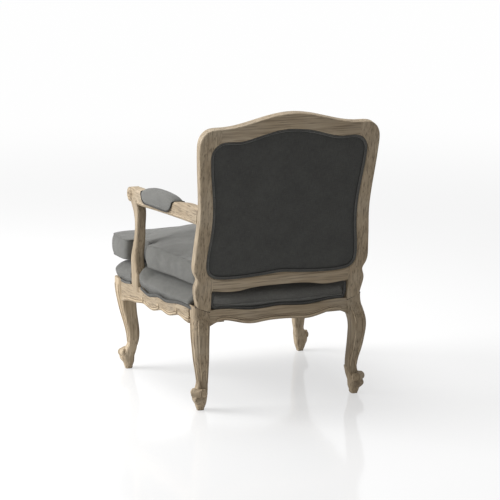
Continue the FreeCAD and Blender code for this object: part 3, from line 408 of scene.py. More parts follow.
def limed_oak(name, grain, paler_by=1.0):
    """Bands along one axis, with streaks, bloom and pores laid over them; paler_by above 1 makes all paler,
    for wear and painted highlight.
    """
    def tone(colour):
        return (*(paler_by * part for part in colour), 1.0)

    material, shader, where, _ = new_finish(name, Specular_IOR_Level=0.35)
    slow, fast = [1.0, 1.0, 1.0], [1.0, 1.0, 1.0]
    slow[grain], fast[grain] = BAND_STRETCH, PORE_STRETCH
    bands = where.scaled(*slow).noise(46.0, detail=5.0, roughness=0.6, distortion=0.8)
    streaks = where.scaled(*fast).noise(150.0, detail=3.0, roughness=0.6)
    pores = where.scaled(*fast).noise(310.0, detail=2.0, roughness=0.55).step(0.53, 0.68)
    patches = where.noise(7.0, detail=2.0).step(0.4, 0.8)
    wood = bands.step(0.3, 0.72).tint(tone(DARK_BAND), tone(PALE_BAND))
    aged = (streaks.step(0.45, 0.72) * 0.75).tint(wood, tone(STREAK))
    limed = (patches * 0.3).tint(aged, tone(BLOOM))
    colour = (pores * 0.65).tint(limed, tone(PORE))
    relief = bands * 0.25 - pores * 0.8 - streaks * 0.25
    connect(shader, Base_Color=colour, Roughness=0.58 + pores * 0.22 + bands * 0.1,
            Normal=relief.bump(0.32, 0.0009))
    return material


GRAIN_ACROSS, GRAIN_ALONG, GRAIN_UP = 0, 1, 2
WAYS = ("across", "along", "upright")
# The paler copy of the oak, for the carved beads, the toes and the front legs, is partly edge wear and partly
# painted highlight.
WEAR_AND_HIGHLIGHT = 1.38
oak = [limed_oak("limed_oak_" + way, grain) for grain, way in enumerate(WAYS)]
wear_and_highlight_oak = [limed_oak("wear_and_highlight_oak_" + way, grain, WEAR_AND_HIGHLIGHT) for grain, way in enumerate(WAYS)]
print("oak", [wood.name for wood in oak + wear_and_highlight_oak])

# %% [markdown]
# A joiner cuts each piece so that the grain runs along it, because wood snaps where the grain runs across
# a piece. One material turned to suit each piece would need a map for each, so the same recipe is made
# for three directions. The front legs get the paler wood of the carved edges, because the photograph
# shows them paler than the plain oak came out.

# %% Oak on the frame
OAK_PIECES = {
    GRAIN_ACROSS: ("crest_rail", "back_lower_rail", "front_seat_rail", "rear_seat_rail",
                   "front_corner_block", "rear_corner_block"),
    GRAIN_ALONG: ("side_seat_rail", "armrest"),
    GRAIN_UP: ("front_leg", "rear_leg", "back_stile", "arm_post")}


def paint_node(name, material):
    """Gives a node of the part one material in place of its plain one."""
    nodes[name].data.materials.clear()
    nodes[name].data.materials.append(material)


for grain, stems in OAK_PIECES.items():
    for stem in stems:
        # The front legs' paler oak is painted light: it makes up for light that the lamps don't give them.
        wood = wear_and_highlight_oak if stem == "front_leg" else oak
        found = [name for name in (stem, stem + "_left", stem + "_right") if name in nodes]
        for name in found:
            paint_node(name, wood[grain])
        print(stem, len(found), "with its grain", WAYS[grain])

# %% [markdown]
# The cover is a plain woven linen in mid grey. Warp and weft cross at a pitch of a bit over a millimetre.
# Threads could be modelled one by one, but there are hundreds each way, so they are relief in the finish.
# A thread's height is a rounded ridge across it and a wave along it, over one neighbour and under the
# next. Slubs, the thicker stretches of linen yarn, are noise stretched along each thread.

# %% Linen
SLUB_STRETCH = 0.06


def linen(name, dark, light, pitch=0.0013, fuzz=0.35):
    """Height is the squared sine across the upper thread; colour follows slub, a slow cloud, and height as
    painted shade in the dips between threads.
    """
    material, shader, where, flat = new_finish(name, Sheen_Weight=fuzz, Sheen_Roughness=0.45,
                                               Specular_IOR_Level=0.2)
    across, up, _ = flat.parts()
    warp, weft = across / pitch, up / pitch
    thread_count = warp.math("FLOOR", warp) + weft.math("FLOOR", weft)
    warp_over = thread_count.math("PINGPONG", thread_count, 1.0)
    warp_ridge = warp.math("SINE", warp * math.pi) ** 2.0
    weft_ridge = weft.math("SINE", weft * math.pi) ** 2.0
    height = warp_over * warp_ridge + (1 - warp_over) * weft_ridge
    slub_warp = flat.scaled(1 / pitch, SLUB_STRETCH / pitch, 1).noise(1.0, detail=2.0)
    slub_weft = flat.scaled(SLUB_STRETCH / pitch, 1 / pitch, 1).noise(1.0, detail=2.0)
    slub = warp_over * slub_warp + (1 - warp_over) * slub_weft
    cloud = where.noise(16.0)
    # The height term is painted shade: the dips between threads come out darker.
    shade = (slub - 0.5) * 1.7 + (height - 0.4) * 0.55 + (cloud - 0.5) * 0.5 + 0.45
    relief = height + slub * 0.8
    connect(shader, Base_Color=shade.step(0.0, 1.0).tint((*dark, 1), (*light, 1)),
            Roughness=0.8 + slub * 0.15, Normal=relief.bump(0.35, 0.0005))
    return material


grey_linen = linen("grey_linen", (0.064, 0.064, 0.0585), (0.152, 0.151, 0.140), fuzz=0.25)
# The outside back is cut from the same grey linen; its darker copy here is painted shade.
painted_shade_back_linen = linen("grey_linen_outside_back_painted_shade", (0.034, 0.034, 0.032), (0.075, 0.075, 0.070), fuzz=0.15)
# The welts are the same grey linen as well; this darker copy is painted shade.
painted_shade_welt_linen = linen("grey_linen_welt_painted_shade", (0.052, 0.052, 0.048), (0.118, 0.117, 0.109), fuzz=0.2)
# This dark linen is painted shade: it colours the thin lines beside the welts and the cords of the arm pads.
painted_shade_linen = linen("dark_linen_edge", (0.018, 0.018, 0.017), (0.052, 0.051, 0.048), pitch=0.0011, fuzz=0.1)
print("linen", [cloth.name for cloth in (grey_linen, painted_shade_back_linen, painted_shade_welt_linen, painted_shade_linen)])

# %% [markdown]
# The back is flat and leans, so its soft pieces are drawn in its own plane: x across, z up, and a third
# number for how far a point stands inwards, towards the sitter. They could be drawn upright and turned,
# but a turned object has its place outside its mesh, so the lean is worked into the points.

# %% Plane of the back
REAR_FACE, BACK_SEAM, BACK_THICKNESS = 307.0, 326.0, 32.0
TILT = math.radians(10.0)
BACK_INWARD = np.array([0.0, -math.cos(TILT), math.sin(TILT)])


def back_plane(x, z, inward):
    """Point of the rear face at height z, moved inwards along the face's normal."""
    y = REAR_FACE + (z - BACK_SEAM) * math.tan(TILT)
    return np.stack(np.broadcast_arrays(x, y, z), axis=-1) + np.asarray(inward)[..., None] * BACK_INWARD


print("inwards on the back is", BACK_INWARD.round(3))

# %% [markdown]
# The sight edge is the line where the back's wood ends and its upholstery starts, a serpentine with full
# shoulders. It could be traced from the node's mesh, but that has thousands of edges. A few points on one
# half, the mirror image and a smooth curve give the same line.

# %% Sight edge of the back
CREST_TOP, SHOULDER, SHOULDER_HALF = 950.0, 911.0, 302.0
WAIST_HALF, HIP_HALF, LOWER_RAIL_TOP = 288.0, 297.0, 430.0
SIGHT_HALF = [
    (0, CREST_TOP - 49), (60, CREST_TOP - 55), (115, CREST_TOP - 69), (175, SHOULDER - 42),
    (SHOULDER_HALF - 67, SHOULDER - 45), (SHOULDER_HALF - 42, SHOULDER - 71),
    (SHOULDER_HALF - 39, SHOULDER - 103), (SHOULDER_HALF - 48, SHOULDER - 186),
    (WAIST_HALF - 42, 630), (WAIST_HALF - 38, 560),
    (HIP_HALF - 39, LOWER_RAIL_TOP + 50), (HIP_HALF - 45, LOWER_RAIL_TOP + 16),
    (HIP_HALF - 61, LOWER_RAIL_TOP), (HIP_HALF - 92, LOWER_RAIL_TOP - 8),
    (112, LOWER_RAIL_TOP - 8.5), (50, LOWER_RAIL_TOP - 4), (0, LOWER_RAIL_TOP)]
SIGHT_STEPS = 560
sight = smooth_curve(SIGHT_HALF + [(-x, z) for x, z in SIGHT_HALF[-2:0:-1]], SIGHT_STEPS, closed=True)


def drawn_in(outline, distance):
    """Closed outline moved inwards by a distance, square to itself."""
    tangent = along(outline, closed=True)
    return outline + distance * np.stack([tangent[:, 1], -tangent[:, 0]], axis=1)


print("sight edge", np.ptp(sight, axis=0).round().tolist(), "mm wide and high")

# %% [markdown]
# A double welt is two cords side by side in one strip of cloth, and it covers the tacks along an edge.
# Two tubes would leave a gap between them. One profile of two half circles on a flat base is a closed strip.
# Where its cloth is tucked in, a thin dark strip runs along each side as painted shade.

# %% Profile of a double welt
WELT_SUNK, EDGE_OUT, EDGE_UP, EDGE_SIZE = 1.0, 0.4, 0.9, 2.6


def double_welt(width, height, steps=12):
    """Profile (a, b): a runs over both cords, b is the half circle over the nearer one; a base closes it."""
    a = np.linspace(-1.0, 1.0, 2 * steps + 1) * width / 2
    cord = width / 4
    b = np.sqrt(np.clip(cord ** 2 - (np.abs(a) - cord) ** 2, 0.0, None)) / cord * height
    base = np.linspace(1.0, -1.0, 5)[1:-1] * width / 2
    under = np.stack([base, np.full_like(base, -WELT_SUNK)], axis=1)
    return np.concatenate([np.stack([a, b], axis=1), under])


def painted_shade_lines(width):
    """Two thin round profiles, one along each side of a welt, for the painted shade where the cloth is tucked
    in.
    """
    return [circle(EDGE_SIZE, EDGE_SIZE, 8) + [side * (width / 2 + EDGE_OUT), EDGE_UP] for side in (-1, 1)]


print("a welt's profile has", len(double_welt(1, 1)), "points")

# %% [markdown]
# On the back the welt runs round the sight edge in the frame's rebate, once behind and once in front. A
# curve object with a bevel could do that, but it turns its profile by its own rule. The sweep keeps the
# flat base on the wood all the way round, because it knows which way is up.

# %% Double welts of the back
REAR_REBATE, WELT_WIDTH, WELT_HEIGHT, WELT_GAP = 10.0, 9.0, 5.0, 0.3
REAR_WELT_DEPTH, FRONT_WELT_DEPTH, FRONT_WELT_RISE = REAR_REBATE - 2.5, BACK_THICKNESS - 4.0, 1.0
welt_line = drawn_in(sight, WELT_WIDTH / 2 + WELT_GAP)
for stem, inward, lift, rise, cloth in (
        ("outside_back", REAR_WELT_DEPTH, -BACK_INWARD, 0.0, grey_linen),
        ("inside_back", FRONT_WELT_DEPTH, BACK_INWARD, FRONT_WELT_RISE, painted_shade_welt_linen)):
    round_the_edge = back_plane(welt_line[:, 0], welt_line[:, 1], np.full(SIGHT_STEPS, inward))
    band = sweep(round_the_edge, lift, double_welt(WELT_WIDTH, WELT_HEIGHT + rise), closed=True)
    edges = [sweep(round_the_edge, lift, line, closed=True) for line in painted_shade_lines(WELT_WIDTH)]
    welt = surface(stem + "_double_welt", band, wrap_rows=True)
    dress(welt, cloth, replaced=[stem + "_welt"])
    dress(joined(stem + "_welt_shade_lines", edges, wrap_rows=True), painted_shade_linen)

# %% [markdown]
# The outside back is one piece of linen pulled tight over wadding, so it is almost flat and only eases at
# its edge. A flat square grid would have to be trimmed to the serpentine. Polar coordinates suit it
# better: one parameter runs round the sight edge and the other from the middle to that edge. The same
# rows run back underneath, so that the panel is a closed, thin pad.

# %% Outside back
BACK_MIDDLE, PANEL_GAP = np.array([0.0, 664.0]), 0.2
PANEL_DEPTH, PANEL_EDGE, PANEL_CROWN, PANEL_FLOOR = 3.4, 3.4, 0.9, REAR_REBATE - 0.4


def polar_pad(outline, middle, near, far, rows=36):
    """P(r, t) = middle + r (outline(t) - middle), at depth near(r) going out and far(r) coming back."""
    out = 1 - (1 - np.linspace(0.0, 1.0, rows)) ** 1.6
    r = np.concatenate([out, out[::-1]])
    depth = np.concatenate([near(out), far(out[::-1])])
    flat = middle + r[:, None, None] * (outline[None] - middle)
    return back_plane(flat[..., 0], flat[..., 1], np.broadcast_to(depth[:, None], flat.shape[:2]))


panel_edge = drawn_in(sight, WELT_WIDTH + PANEL_GAP)
panel = polar_pad(panel_edge, BACK_MIDDLE,
                  near=lambda r: PANEL_DEPTH + PANEL_EDGE * r ** 10 + PANEL_CROWN * r ** 2,
                  far=lambda r: np.full_like(r, PANEL_FLOOR))
outside_back = surface("outside_back_pad", panel)
dress(outside_back, painted_shade_back_linen, replaced=["outside_back_panel"])

# %% [markdown]
# The cushion, the deck and the inside back are bags of linen, filled until they are tight. The part holds
# each filling as a plain solid, a little smaller than its cover. Its long thin triangles can't bend like
# cloth, so a voxel remesh lays an even net of quads over it. That leaves small steps. Moving each point
# towards its neighbours rubs them out, and a slightly longer step back keeps the size.

# %% Even quads from a filling
PULL_IN, PUSH_BACK = 0.5, -0.52


def positions(piece):
    """A piece's points in the drawing's millimetres."""
    return to_drawing(read(piece.data.vertices, "co"))


def place(piece, points):
    """Moves a piece's points to places in the drawing's millimetres."""
    piece.data.vertices.foreach_set("co", to_part(points).astype(np.float32).ravel())
    piece.data.update()


def relaxed(piece, points, rounds):
    """Each point moves half way to its neighbours' mean, then a bit further back, so that its size stays."""
    start, end = read(piece.data.edges, "vertices", 2, np.int32).T
    count = np.bincount(np.concatenate([start, end]), minlength=len(points))[:, None]
    for turn in range(2 * rounds):
        mean = np.zeros_like(points)
        np.add.at(mean, start, points[end])
        np.add.at(mean, end, points[start])
        points = points + (PULL_IN if turn % 2 == 0 else PUSH_BACK) * (mean / count - points)
    return points


def node_shell(name, sources, voxel, rounds=8):
    """Joined copy of CAD fillings, remeshed to even quads and smoothed without shrinking."""
    points, faces, first = [], [], 0
    for source in sources:
        mesh = nodes[source].data
        mesh.calc_loop_triangles()
        points.append(to_drawing(read(mesh.vertices, "co")))
        faces.append(read(mesh.loop_triangles, "vertices", 3, np.int32) + first)
        first += len(points[-1])
    raw = mesh_object(name + "_raw", np.concatenate(points), np.concatenate(faces))
    remesh = raw.modifiers.new("remesh", "REMESH")
    remesh.mode, remesh.voxel_size = "VOXEL", voxel * MM
    even = bpy.data.meshes.new_from_object(raw.evaluated_get(bpy.context.evaluated_depsgraph_get()))
    even.name = name
    made = bpy.data.objects.new(name, even)
    bpy.context.scene.collection.objects.link(made)
    bpy.data.objects.remove(raw)
    even.shade_smooth()
    place(made, relaxed(made, positions(made), rounds))
    print(name, "starts with", len(even.vertices), "points")
    return made


# %% [markdown] A sculpted bulge is equally round everywhere. A real cover is flat where the needle or
# the tacks hold it, and full where nothing does. So the net is blown up as cloth: pressure from inside,
# no gravity, and pins where it is held. No point may move further than a cap, so that the piece keeps
# its size.

# %% Inflating
def inflate(piece, held, pressure, cap, frames=20, stiffness=12.0):
    """Cloth under pressure from inside; held is 1 where a seam, a hem or the seat below holds the cover."""
    start = positions(piece)
    group = piece.vertex_groups.new(name="held")
    shares = np.round(held, 1)
    for share in np.unique(shares[shares > 0]):
        group.add(np.nonzero(shares == share)[0].tolist(), float(share), "REPLACE")
    cloth = piece.modifiers.new("inflate", "CLOTH")
    settings = cloth.settings
    settings.quality, settings.mass = 5, 0.3
    settings.tension_stiffness = settings.compression_stiffness = stiffness
    settings.shear_stiffness, settings.bending_stiffness = stiffness / 2, 0.4
    settings.use_pressure, settings.uniform_pressure_force = True, pressure
    settings.effector_weights.gravity = 0.0
    settings.vertex_group_mass = group.name
    settings.pin_stiffness = 1.0
    cloth.point_cache.frame_start, cloth.point_cache.frame_end = 1, frames
    for moment in range(1, frames + 1):
        bpy.context.scene.frame_set(moment)
    swollen = piece.evaluated_get(bpy.context.evaluated_depsgraph_get()).to_mesh()
    moved = to_drawing(read(swollen.vertices, "co")) - start
    piece.modifiers.remove(cloth)
    piece.vertex_groups.remove(group)
    bpy.context.scene.frame_set(1)
    reach = np.linalg.norm(moved, axis=1, keepdims=True)
    moved *= np.minimum(1.0, cap / np.maximum(reach, 1e-6))
    place(piece, start + moved)
    print(piece.name, "swelled by up to", reach.max().round(1), "mm, capped at", cap)


print("cloth is", "simulated", "in this run")

# %% [markdown]
# Use and sewing then shape the cover a little: ears hang, edges lift, seams stand up as ridges, and the
# cloth is never quite even. Sculpting brushes could do it by hand. Here each change is a shift that fades
# in and out over a named stretch, or a slow wave, so it is smooth and is the same on every run.

# %% Ridges, waves and fading
def eased(value, low, high):
    """0 below low, 1 above high, and a smooth rise between."""
    share = np.clip((value - low) / (high - low), 0, 1)
    return share * share * (3 - 2 * share)


def bump_near(value, middle, width):
    """1 at the middle and a bell that fades over the width."""
    return np.exp(-((value - middle) / width) ** 2)


def normals_of(piece):
    """The direction that each point of a piece faces."""
    return read(piece.data.vertex_normals, "vector")


def seamed(piece, seams, ridge=3.2, hollow=1.6, ripple=0.6):
    """Points moved along their normals: a ridge on the seams, broad hollows, and fine ripples beside."""
    points, outward = positions(piece), normals_of(piece)
    x, y = points[:, 0], points[:, 1]
    ripples = np.sin(x / 13.0 + 2.0 * np.sin(y / 41.0)) * np.sin(y / 11.0)
    hollows = np.sin(x / 57.0 + 1.3) * np.sin(y / 73.0 + 0.4)
    return points + outward * (hollows * hollow + ripples * ripple * (1 - seams) + ridge * seams)[:, None]


def subdivided(piece):
    """One level of Subdivision Surface, which rounds the net between its points."""
    finer = piece.modifiers.new("finer", "SUBSURF")
    finer.levels = finer.render_levels = 1


print("half way along a fade the share is", eased(0.5, 0, 1))

# %% [markdown]
# The seat cushion is a boxed cushion: a crowned top, a border of even height, and a seam between them all
# round. It is notched round the arm posts, so that its front ears stand in front of them. A rounded box
# would lose those ears, so the work starts from the part's filling, which has the notches. The seams are
# pinned, the underside lies on the deck, and the rest swells.

# %% Seat cushion
CUSHION_LOW, CUSHION_HIGH = 384.8, 459.8
SEAM_LOW, SEAM_HIGH, SEAM_WIDTH = CUSHION_LOW + 10, CUSHION_HIGH - 5, 5.0
UNDERSIDE, BORDER_LEAN = CUSHION_LOW + 5, 0.12
EAR_OUT, EAR_AHEAD, EDGE_HEIGHTS = (285, 350), (150, 240), (384, 456)
POST_OUT, POST_BEHIND, POST_MIDDLE = (293, 306), (30, 84), -130


def plumped(points, rise=8.0, out=6.0, forward=5.0):
    """Heights rise towards the upper edge, front ears spread outwards, and the rest closes on the posts."""
    x, y, z = points.T
    ear = eased(np.abs(x), *EAR_OUT) * eased(-y, *EAR_AHEAD)
    behind_post = eased(np.abs(x), *POST_OUT) * eased(-y, *POST_BEHIND) * (y > POST_MIDDLE)
    shift = np.sign(x) * out * ear, -forward * behind_post, rise * eased(z, *EDGE_HEIGHTS)
    return points + np.stack(shift, axis=1)


cushion = node_shell("seat_cushion", ["cushion_filling"], voxel=6.6, rounds=2)
heights = positions(cushion)[:, 2]
on_border = np.clip(1 - np.abs(normals_of(cushion)[:, 2]), 0, 1) > BORDER_LEAN
near_seam = np.maximum(bump_near(heights, SEAM_HIGH, SEAM_WIDTH), bump_near(heights, SEAM_LOW, SEAM_WIDTH))
seams = near_seam * on_border
inflate(cushion, np.where((heights < UNDERSIDE) | (seams > 0.5), 1.0, 0.0), pressure=5.0, cap=9.0)
place(cushion, plumped(seamed(cushion, seams)))
dress(cushion, grey_linen, "cushion", ["cushion_cover", "cushion_filling"])
subdivided(cushion)

# %% [markdown]
# A seam shows as a thin welt where top and border are sewn together. It could be a sharp crease in the
# net, but the net is too coarse for a line of four millimetres. So a cord follows the cushion's notched
# outline. That outline is drawn with an arc in each corner, as the pattern cutter draws it.

# %% Outline of the cushion
ARC_STEPS = 12


def rounded_outline(corners, count):
    """Closed line with an arc of the given radius, tangent to both sides, at each (x, y, radius) corner."""
    point, radius = np.array(corners)[:, :2], np.array(corners)[:, 2:]
    before, after = unit(np.roll(point, 1, axis=0) - point), unit(np.roll(point, -1, axis=0) - point)
    half = np.arccos(np.clip((before * after).sum(axis=1, keepdims=True), -1, 1)) / 2
    centre = point + unit(before + after) * radius / np.sin(half)
    start = point + before * radius / np.tan(half) - centre
    end = point + after * radius / np.tan(half) - centre
    share = np.linspace(0.0, 1.0, ARC_STEPS)[None, :, None]
    arcs = centre[:, None] + unit(start[:, None] * (1 - share) + end[:, None] * share) * radius[:, None]
    line = np.concatenate([arcs.reshape(-1, 2), arcs[0, :1]])
    length = np.concatenate([[0.0], np.cumsum(np.linalg.norm(np.diff(line, axis=0), axis=1))])
    at = np.linspace(0.0, length[-1], count, endpoint=False)
    return np.stack([np.interp(at, length, line[:, axis]) for axis in (0, 1)], axis=1)


NOTCH_X, NOTCH_FRONT, NOTCH_REAR = 293.4, -179.0, -84.0
CUSHION_FRONT, CUSHION_REAR = -333.0, 261.0
CUSHION_EAR, CUSHION_WAIST, CUSHION_TAIL = 356.0, 323.0, 266.0
BOW_RADIUS, SOFT_RADIUS, EAR_RADIUS, HORN_RADIUS, NOTCH_RADIUS = 300, 900, 32, 16, 9


def cushion_plan(step, count=700):
    """Notched outline of the cushion, a step inside its widest line."""
    front, rear, ear = CUSHION_FRONT + step, CUSHION_REAR - step, CUSHION_EAR - step
    notch_x, notch_front, notch_rear = NOTCH_X - step, NOTCH_FRONT - step, NOTCH_REAR + step
    waist, tail = CUSHION_WAIST - step, CUSHION_TAIL - step
    left = [(178, front - 10, BOW_RADIUS), (ear, front, EAR_RADIUS), (ear - 4, notch_front, HORN_RADIUS),
            (notch_x, notch_front, NOTCH_RADIUS), (notch_x, notch_rear, NOTCH_RADIUS),
            (waist, notch_rear, NOTCH_RADIUS),
            ((waist + tail) / 2 - 4, (notch_rear + rear) / 2, SOFT_RADIUS),
            (tail, rear, EAR_RADIUS), (89, rear - 4, SOFT_RADIUS)]
    return rounded_outline(left + [(-x, y, radius) for x, y, radius in left[::-1]], count)


print("cushion", np.ptp(cushion_plan(0.0), axis=0).round().tolist(), "mm wide and deep")

# %% [markdown]
# The cushion has swollen, so its seams no longer lie on the flat pattern. The line could be guessed
# further out. Instead each of its points looks for the nearest point of the cushion's surface and is
# lifted off it by a hair.

# %% Seams of the cushion
SEAM_SIZE, SEAM_LIFT = 3.8, 0.7
SEAM_LINES = ((SEAM_HIGH + 2, 4.0), (SEAM_LOW - 2, 6.0))


def on_surface(piece, path, rise):
    """The nearest points of a piece's surface to a path, lifted along the surface's normals."""
    tree = BVHTree.FromObject(piece, bpy.context.evaluated_depsgraph_get())
    hits = [tree.find_nearest(point) for point in to_part(path)]
    return to_drawing(np.array([hit[0] for hit in hits])) + rise * np.array([hit[1] for hit in hits])


seam_cords = []
for height, step in SEAM_LINES:
    plan = cushion_plan(step)
    found = on_surface(cushion, plumped(lifted(plan, np.full(len(plan), height))), SEAM_LIFT)
    seam_line = smooth_curve(found[::4], len(plan), closed=True)
    seam_cords.append(sweep(seam_line, [0, 0, 1], circle(SEAM_SIZE, SEAM_SIZE, 8), closed=True))
dress(joined("cushion_seams", seam_cords, wrap_rows=True), grey_linen, "cushion")

# %% [markdown]
# The deck is the padded platform under the cushion. It rolls over the rails and is cut round the arm
# posts. Its stuffing gives way at the front corners, and it falls away towards the side and rear rails,
# which leaves a line of shade under the cushion. A lattice could bend it so, but its cage would have to
# be placed by hand. Two shifts that fade over named stretches follow the rails' own lines.

# %% Slopes of the deck
SIDE_START, SIDE_END = np.array([351.0, -276.0]), np.array([285.0, 280.0])
SIDE_LENGTH = np.linalg.norm(SIDE_END - SIDE_START)
SIDE_ALONG = (SIDE_END - SIDE_START) / SIDE_LENGTH
SIDE_OUT = np.array([SIDE_ALONG[1], -SIDE_ALONG[0]])
CORNER_OUT, CORNER_AHEAD, CORNER_HEIGHTS = (190, 350), (120, 300), (322, 372)
BESIDE_OUT, BESIDE_REARWARD, BEHIND, SLOPE_HEIGHTS = (-85, -8), (-110, -50), (185, 278), (322, 384)
UP = np.array([0.0, 0.0, 1.0])


def sunk_at_front(points, drop=9.0):
    """Each point goes down by drop times how far it is out, ahead and up the roll at a front corner."""
    x, y, z = points.T
    corner = eased(np.abs(x), *CORNER_OUT) * eased(-y, *CORNER_AHEAD) * eased(z, *CORNER_HEIGHTS)
    return points - (drop * corner)[:, None] * UP


def sloped_sides(points, side_drop=22.0, rear_drop=34.0):
    """Each point goes down by the larger of a fall towards the side rail and one towards the rear rail."""
    x, y, z = points.T
    out = (np.stack([np.abs(x), y], axis=1) - SIDE_START) @ SIDE_OUT
    beside = side_drop * eased(out, *BESIDE_OUT) * eased(y, *BESIDE_REARWARD)
    behind = rear_drop * eased(y, *BEHIND)
    return points - (np.maximum(beside, behind) * eased(z, *SLOPE_HEIGHTS))[:, None] * UP


print("the left rail runs along", SIDE_ALONG.round(3), "and faces", SIDE_OUT.round(3))

# %% [markdown]
# Cover and filling of the deck could be two skins, but only the outer one is ever seen, so they are one
# shell here. Its flat top and its hem are held, and only the roll over the rails swells.

# %% Padded deck
RAIL_TOP, DECK_TOP, ROLL_FADE = 318.0, 384.5, 10
deck = node_shell("padded_deck", ["seat_deck_cover", "seat_deck_padding"], voxel=5.0)
heights = positions(deck)[:, 2]
over_rail = np.clip((heights - RAIL_TOP - 6) / ROLL_FADE, 0, 1)
under_top = np.clip((DECK_TOP - 2 - heights) / ROLL_FADE, 0, 1)
inflate(deck, 1 - over_rail * under_top, pressure=3.0, cap=4.0)
place(deck, sloped_sides(sunk_at_front(positions(deck))))
dress(deck, grey_linen, replaced=["seat_deck_cover", "seat_deck_padding"])

# %% [markdown]
# The inside back is the pad that the sitter leans on. It is fuller than the outside back, because it has
# springy filling on webbing. The polar pad could be given a higher crown, but a tight cover is flatter in
# the middle than a formula makes it. So this one swells too, and is held all along the rebate.

# %% Inside back
HELD_DEPTH = BACK_THICKNESS + 5
inside_back = node_shell("inside_back_pad", ["inside_back_padding"], voxel=5.0)
pad_points = positions(inside_back)
on_rear_face = back_plane(pad_points[:, 0], pad_points[:, 2], np.zeros(len(pad_points)))
depth = (pad_points - on_rear_face) @ BACK_INWARD
inflate(inside_back, np.where(depth < HELD_DEPTH, 1.0, 0.0), pressure=3.0, cap=6.0)
dress(inside_back, grey_linen, replaced=["inside_back_cover", "inside_back_padding"])
subdivided(inside_back)

# %% [markdown]
# Each arm pad wraps the top and the sides of its arm. In section it is a thick U turned over the wood: an
# outer curve from hem to hem, and an inner one that follows the arm a hair away. A swollen net would
# close over the wood, so sections of that U along the arm make the grid, and the hem rises at both ends.

# %% Line of the arm
ARM_UNDER, ARM_HEIGHT, ARM_WIDTH = 598.0, 658.0, 41.0
ARM_REAR_Y = REAR_FACE + (ARM_HEIGHT - BACK_SEAM) * math.tan(TILT) - BACK_THICKNESS / 2
ARM_TIP_Y, ARM_REAR_OUT, ARM_FRONT_OUT = -192.0, 286.0, 346.0
ARM_CORE = ARM_UNDER + 24


def arm_at(share):
    """Depth and outer side of the left arm, both on a straight line from its rear end to its tip."""
    y = ARM_REAR_Y + (ARM_TIP_Y - ARM_REAR_Y) * share
    return y, ARM_REAR_OUT + (ARM_FRONT_OUT - ARM_REAR_OUT) * share


print("arm from y", round(ARM_REAR_Y, 1), "to", ARM_TIP_Y)

# %% [markdown]
# The outer curve of the U is a superellipse, halfway between an ellipse and a box, which is how a tight
# cover lies over a padded bar. A smaller power makes the corners tighter, as on the inner curve. Along
# the arm the pad is lowest at its ends and swells by a quarter circle into its dome.

# %% Arm pads
PAD_REAR, PAD_FRONT, PAD_END, PAD_COLUMNS = 0.36, 0.771, 0.18, 44
WOOD_TOP, WOOD_HALF = ARM_HEIGHT - 12.4, ARM_WIDTH / 2 + 0.4
HEM_OVER, HEM_RISE, THIN_SIDE, SIDE_SWELL = 14, 34, 1.0, 5.0
THIN_TOP, TOP_SWELL, TOP_DOME, DOME_POWER = 2.5, 8.0, 11.0, 2.4
SOFT_CORNER, TIGHT_CORNER = 0.62, 0.3


def half_section(middle, half, y, hem, rise, power):
    """Half a superellipse per row: x = middle + half |cos|^p with cos's sign, z = hem + rise |sin|^p."""
    turn = np.linspace(math.pi, 0.0, PAD_COLUMNS)
    x = np.sign(np.cos(turn)) * np.abs(np.cos(turn)) ** power
    z = np.abs(np.sin(turn)) ** power
    section = middle[:, None] + half[:, None] * x, y[:, None], hem[:, None] + rise[:, None] * z
    return np.stack(np.broadcast_arrays(*section), axis=-1)


def arm_pad_grid(rows=70):
    """Point (i, j): station i along the arm, j round the outer half section and back round the inner one."""
    share = np.linspace(0.0, 1.0, rows)
    y, out = arm_at(PAD_REAR + (PAD_FRONT - PAD_REAR) * share)
    middle = out - ARM_WIDTH / 2
    end = np.clip(np.minimum(share, 1 - share) / PAD_END, 0, 1)
    swell = np.sqrt(1 - (1 - end) ** 2)
    dome = 1 - np.abs(2 * share - 1) ** DOME_POWER
    hem = ARM_UNDER + HEM_OVER + (1 - swell) * HEM_RISE
    half = WOOD_HALF + THIN_SIDE + SIDE_SWELL * swell
    top = WOOD_TOP + THIN_TOP + TOP_SWELL * swell + TOP_DOME * dome
    outer = half_section(middle, half, y, hem, top - hem, SOFT_CORNER)
    inner = half_section(middle, np.full(rows, WOOD_HALF), y, hem, np.maximum(WOOD_TOP - hem, 1.0),
                         TIGHT_CORNER)
    return np.concatenate([outer, inner[:, ::-1]], axis=1)


left_pad = capped(arm_pad_grid())
for side, grid in (("left", left_pad), ("right", mirror_x(left_pad))):
    pad = surface("arm_pad_" + side, grid)
    dress(pad, grey_linen, replaced=["arm_pad_cover_" + side, "arm_pad_padding_" + side])
    subdivided(pad)

# %% [markdown]
# The tops of the rails are wavy, and the deck's cover ends along them. Each wave is a short list of
# marks: a share of the rail's length and a rise over its level. Sines could make waves, but not these
# uneven ones. Two more functions bring a point on to the bowed face of the side rail or the front rail.

# %% Waves and faces of the rails
FRONT_RAIL_HALF, REAR_POST_X, SIDE_BOW = 291.7, 261.0, 5.0
SIDE_TOP = ((0, -4), (0.12, -8), (0.3, 2), (0.45, -13), (0.57, -2), (0.66, -6), (0.8, 4), (1, 4))
FRONT_TOP = ((0, 4), (0.25, 2), (0.5, -4), (0.75, 0), (1, -3))
REAR_TOP = ((0, 0), (0.17, -3), (0.43, -4), (0.6, 2), (0.82, 5), (1, 0))


def wave(marks, length, level):
    """Smooth line (distance, height) through (share of the length, rise over the level)."""
    return smooth_curve([(share * length, level + rise) for share, rise in marks], 160)


def both_halves(marks):
    """Marks from the middle to one end, with their mirror image before them."""
    return tuple((-share, rise) for share, rise in marks[:0:-1]) + marks


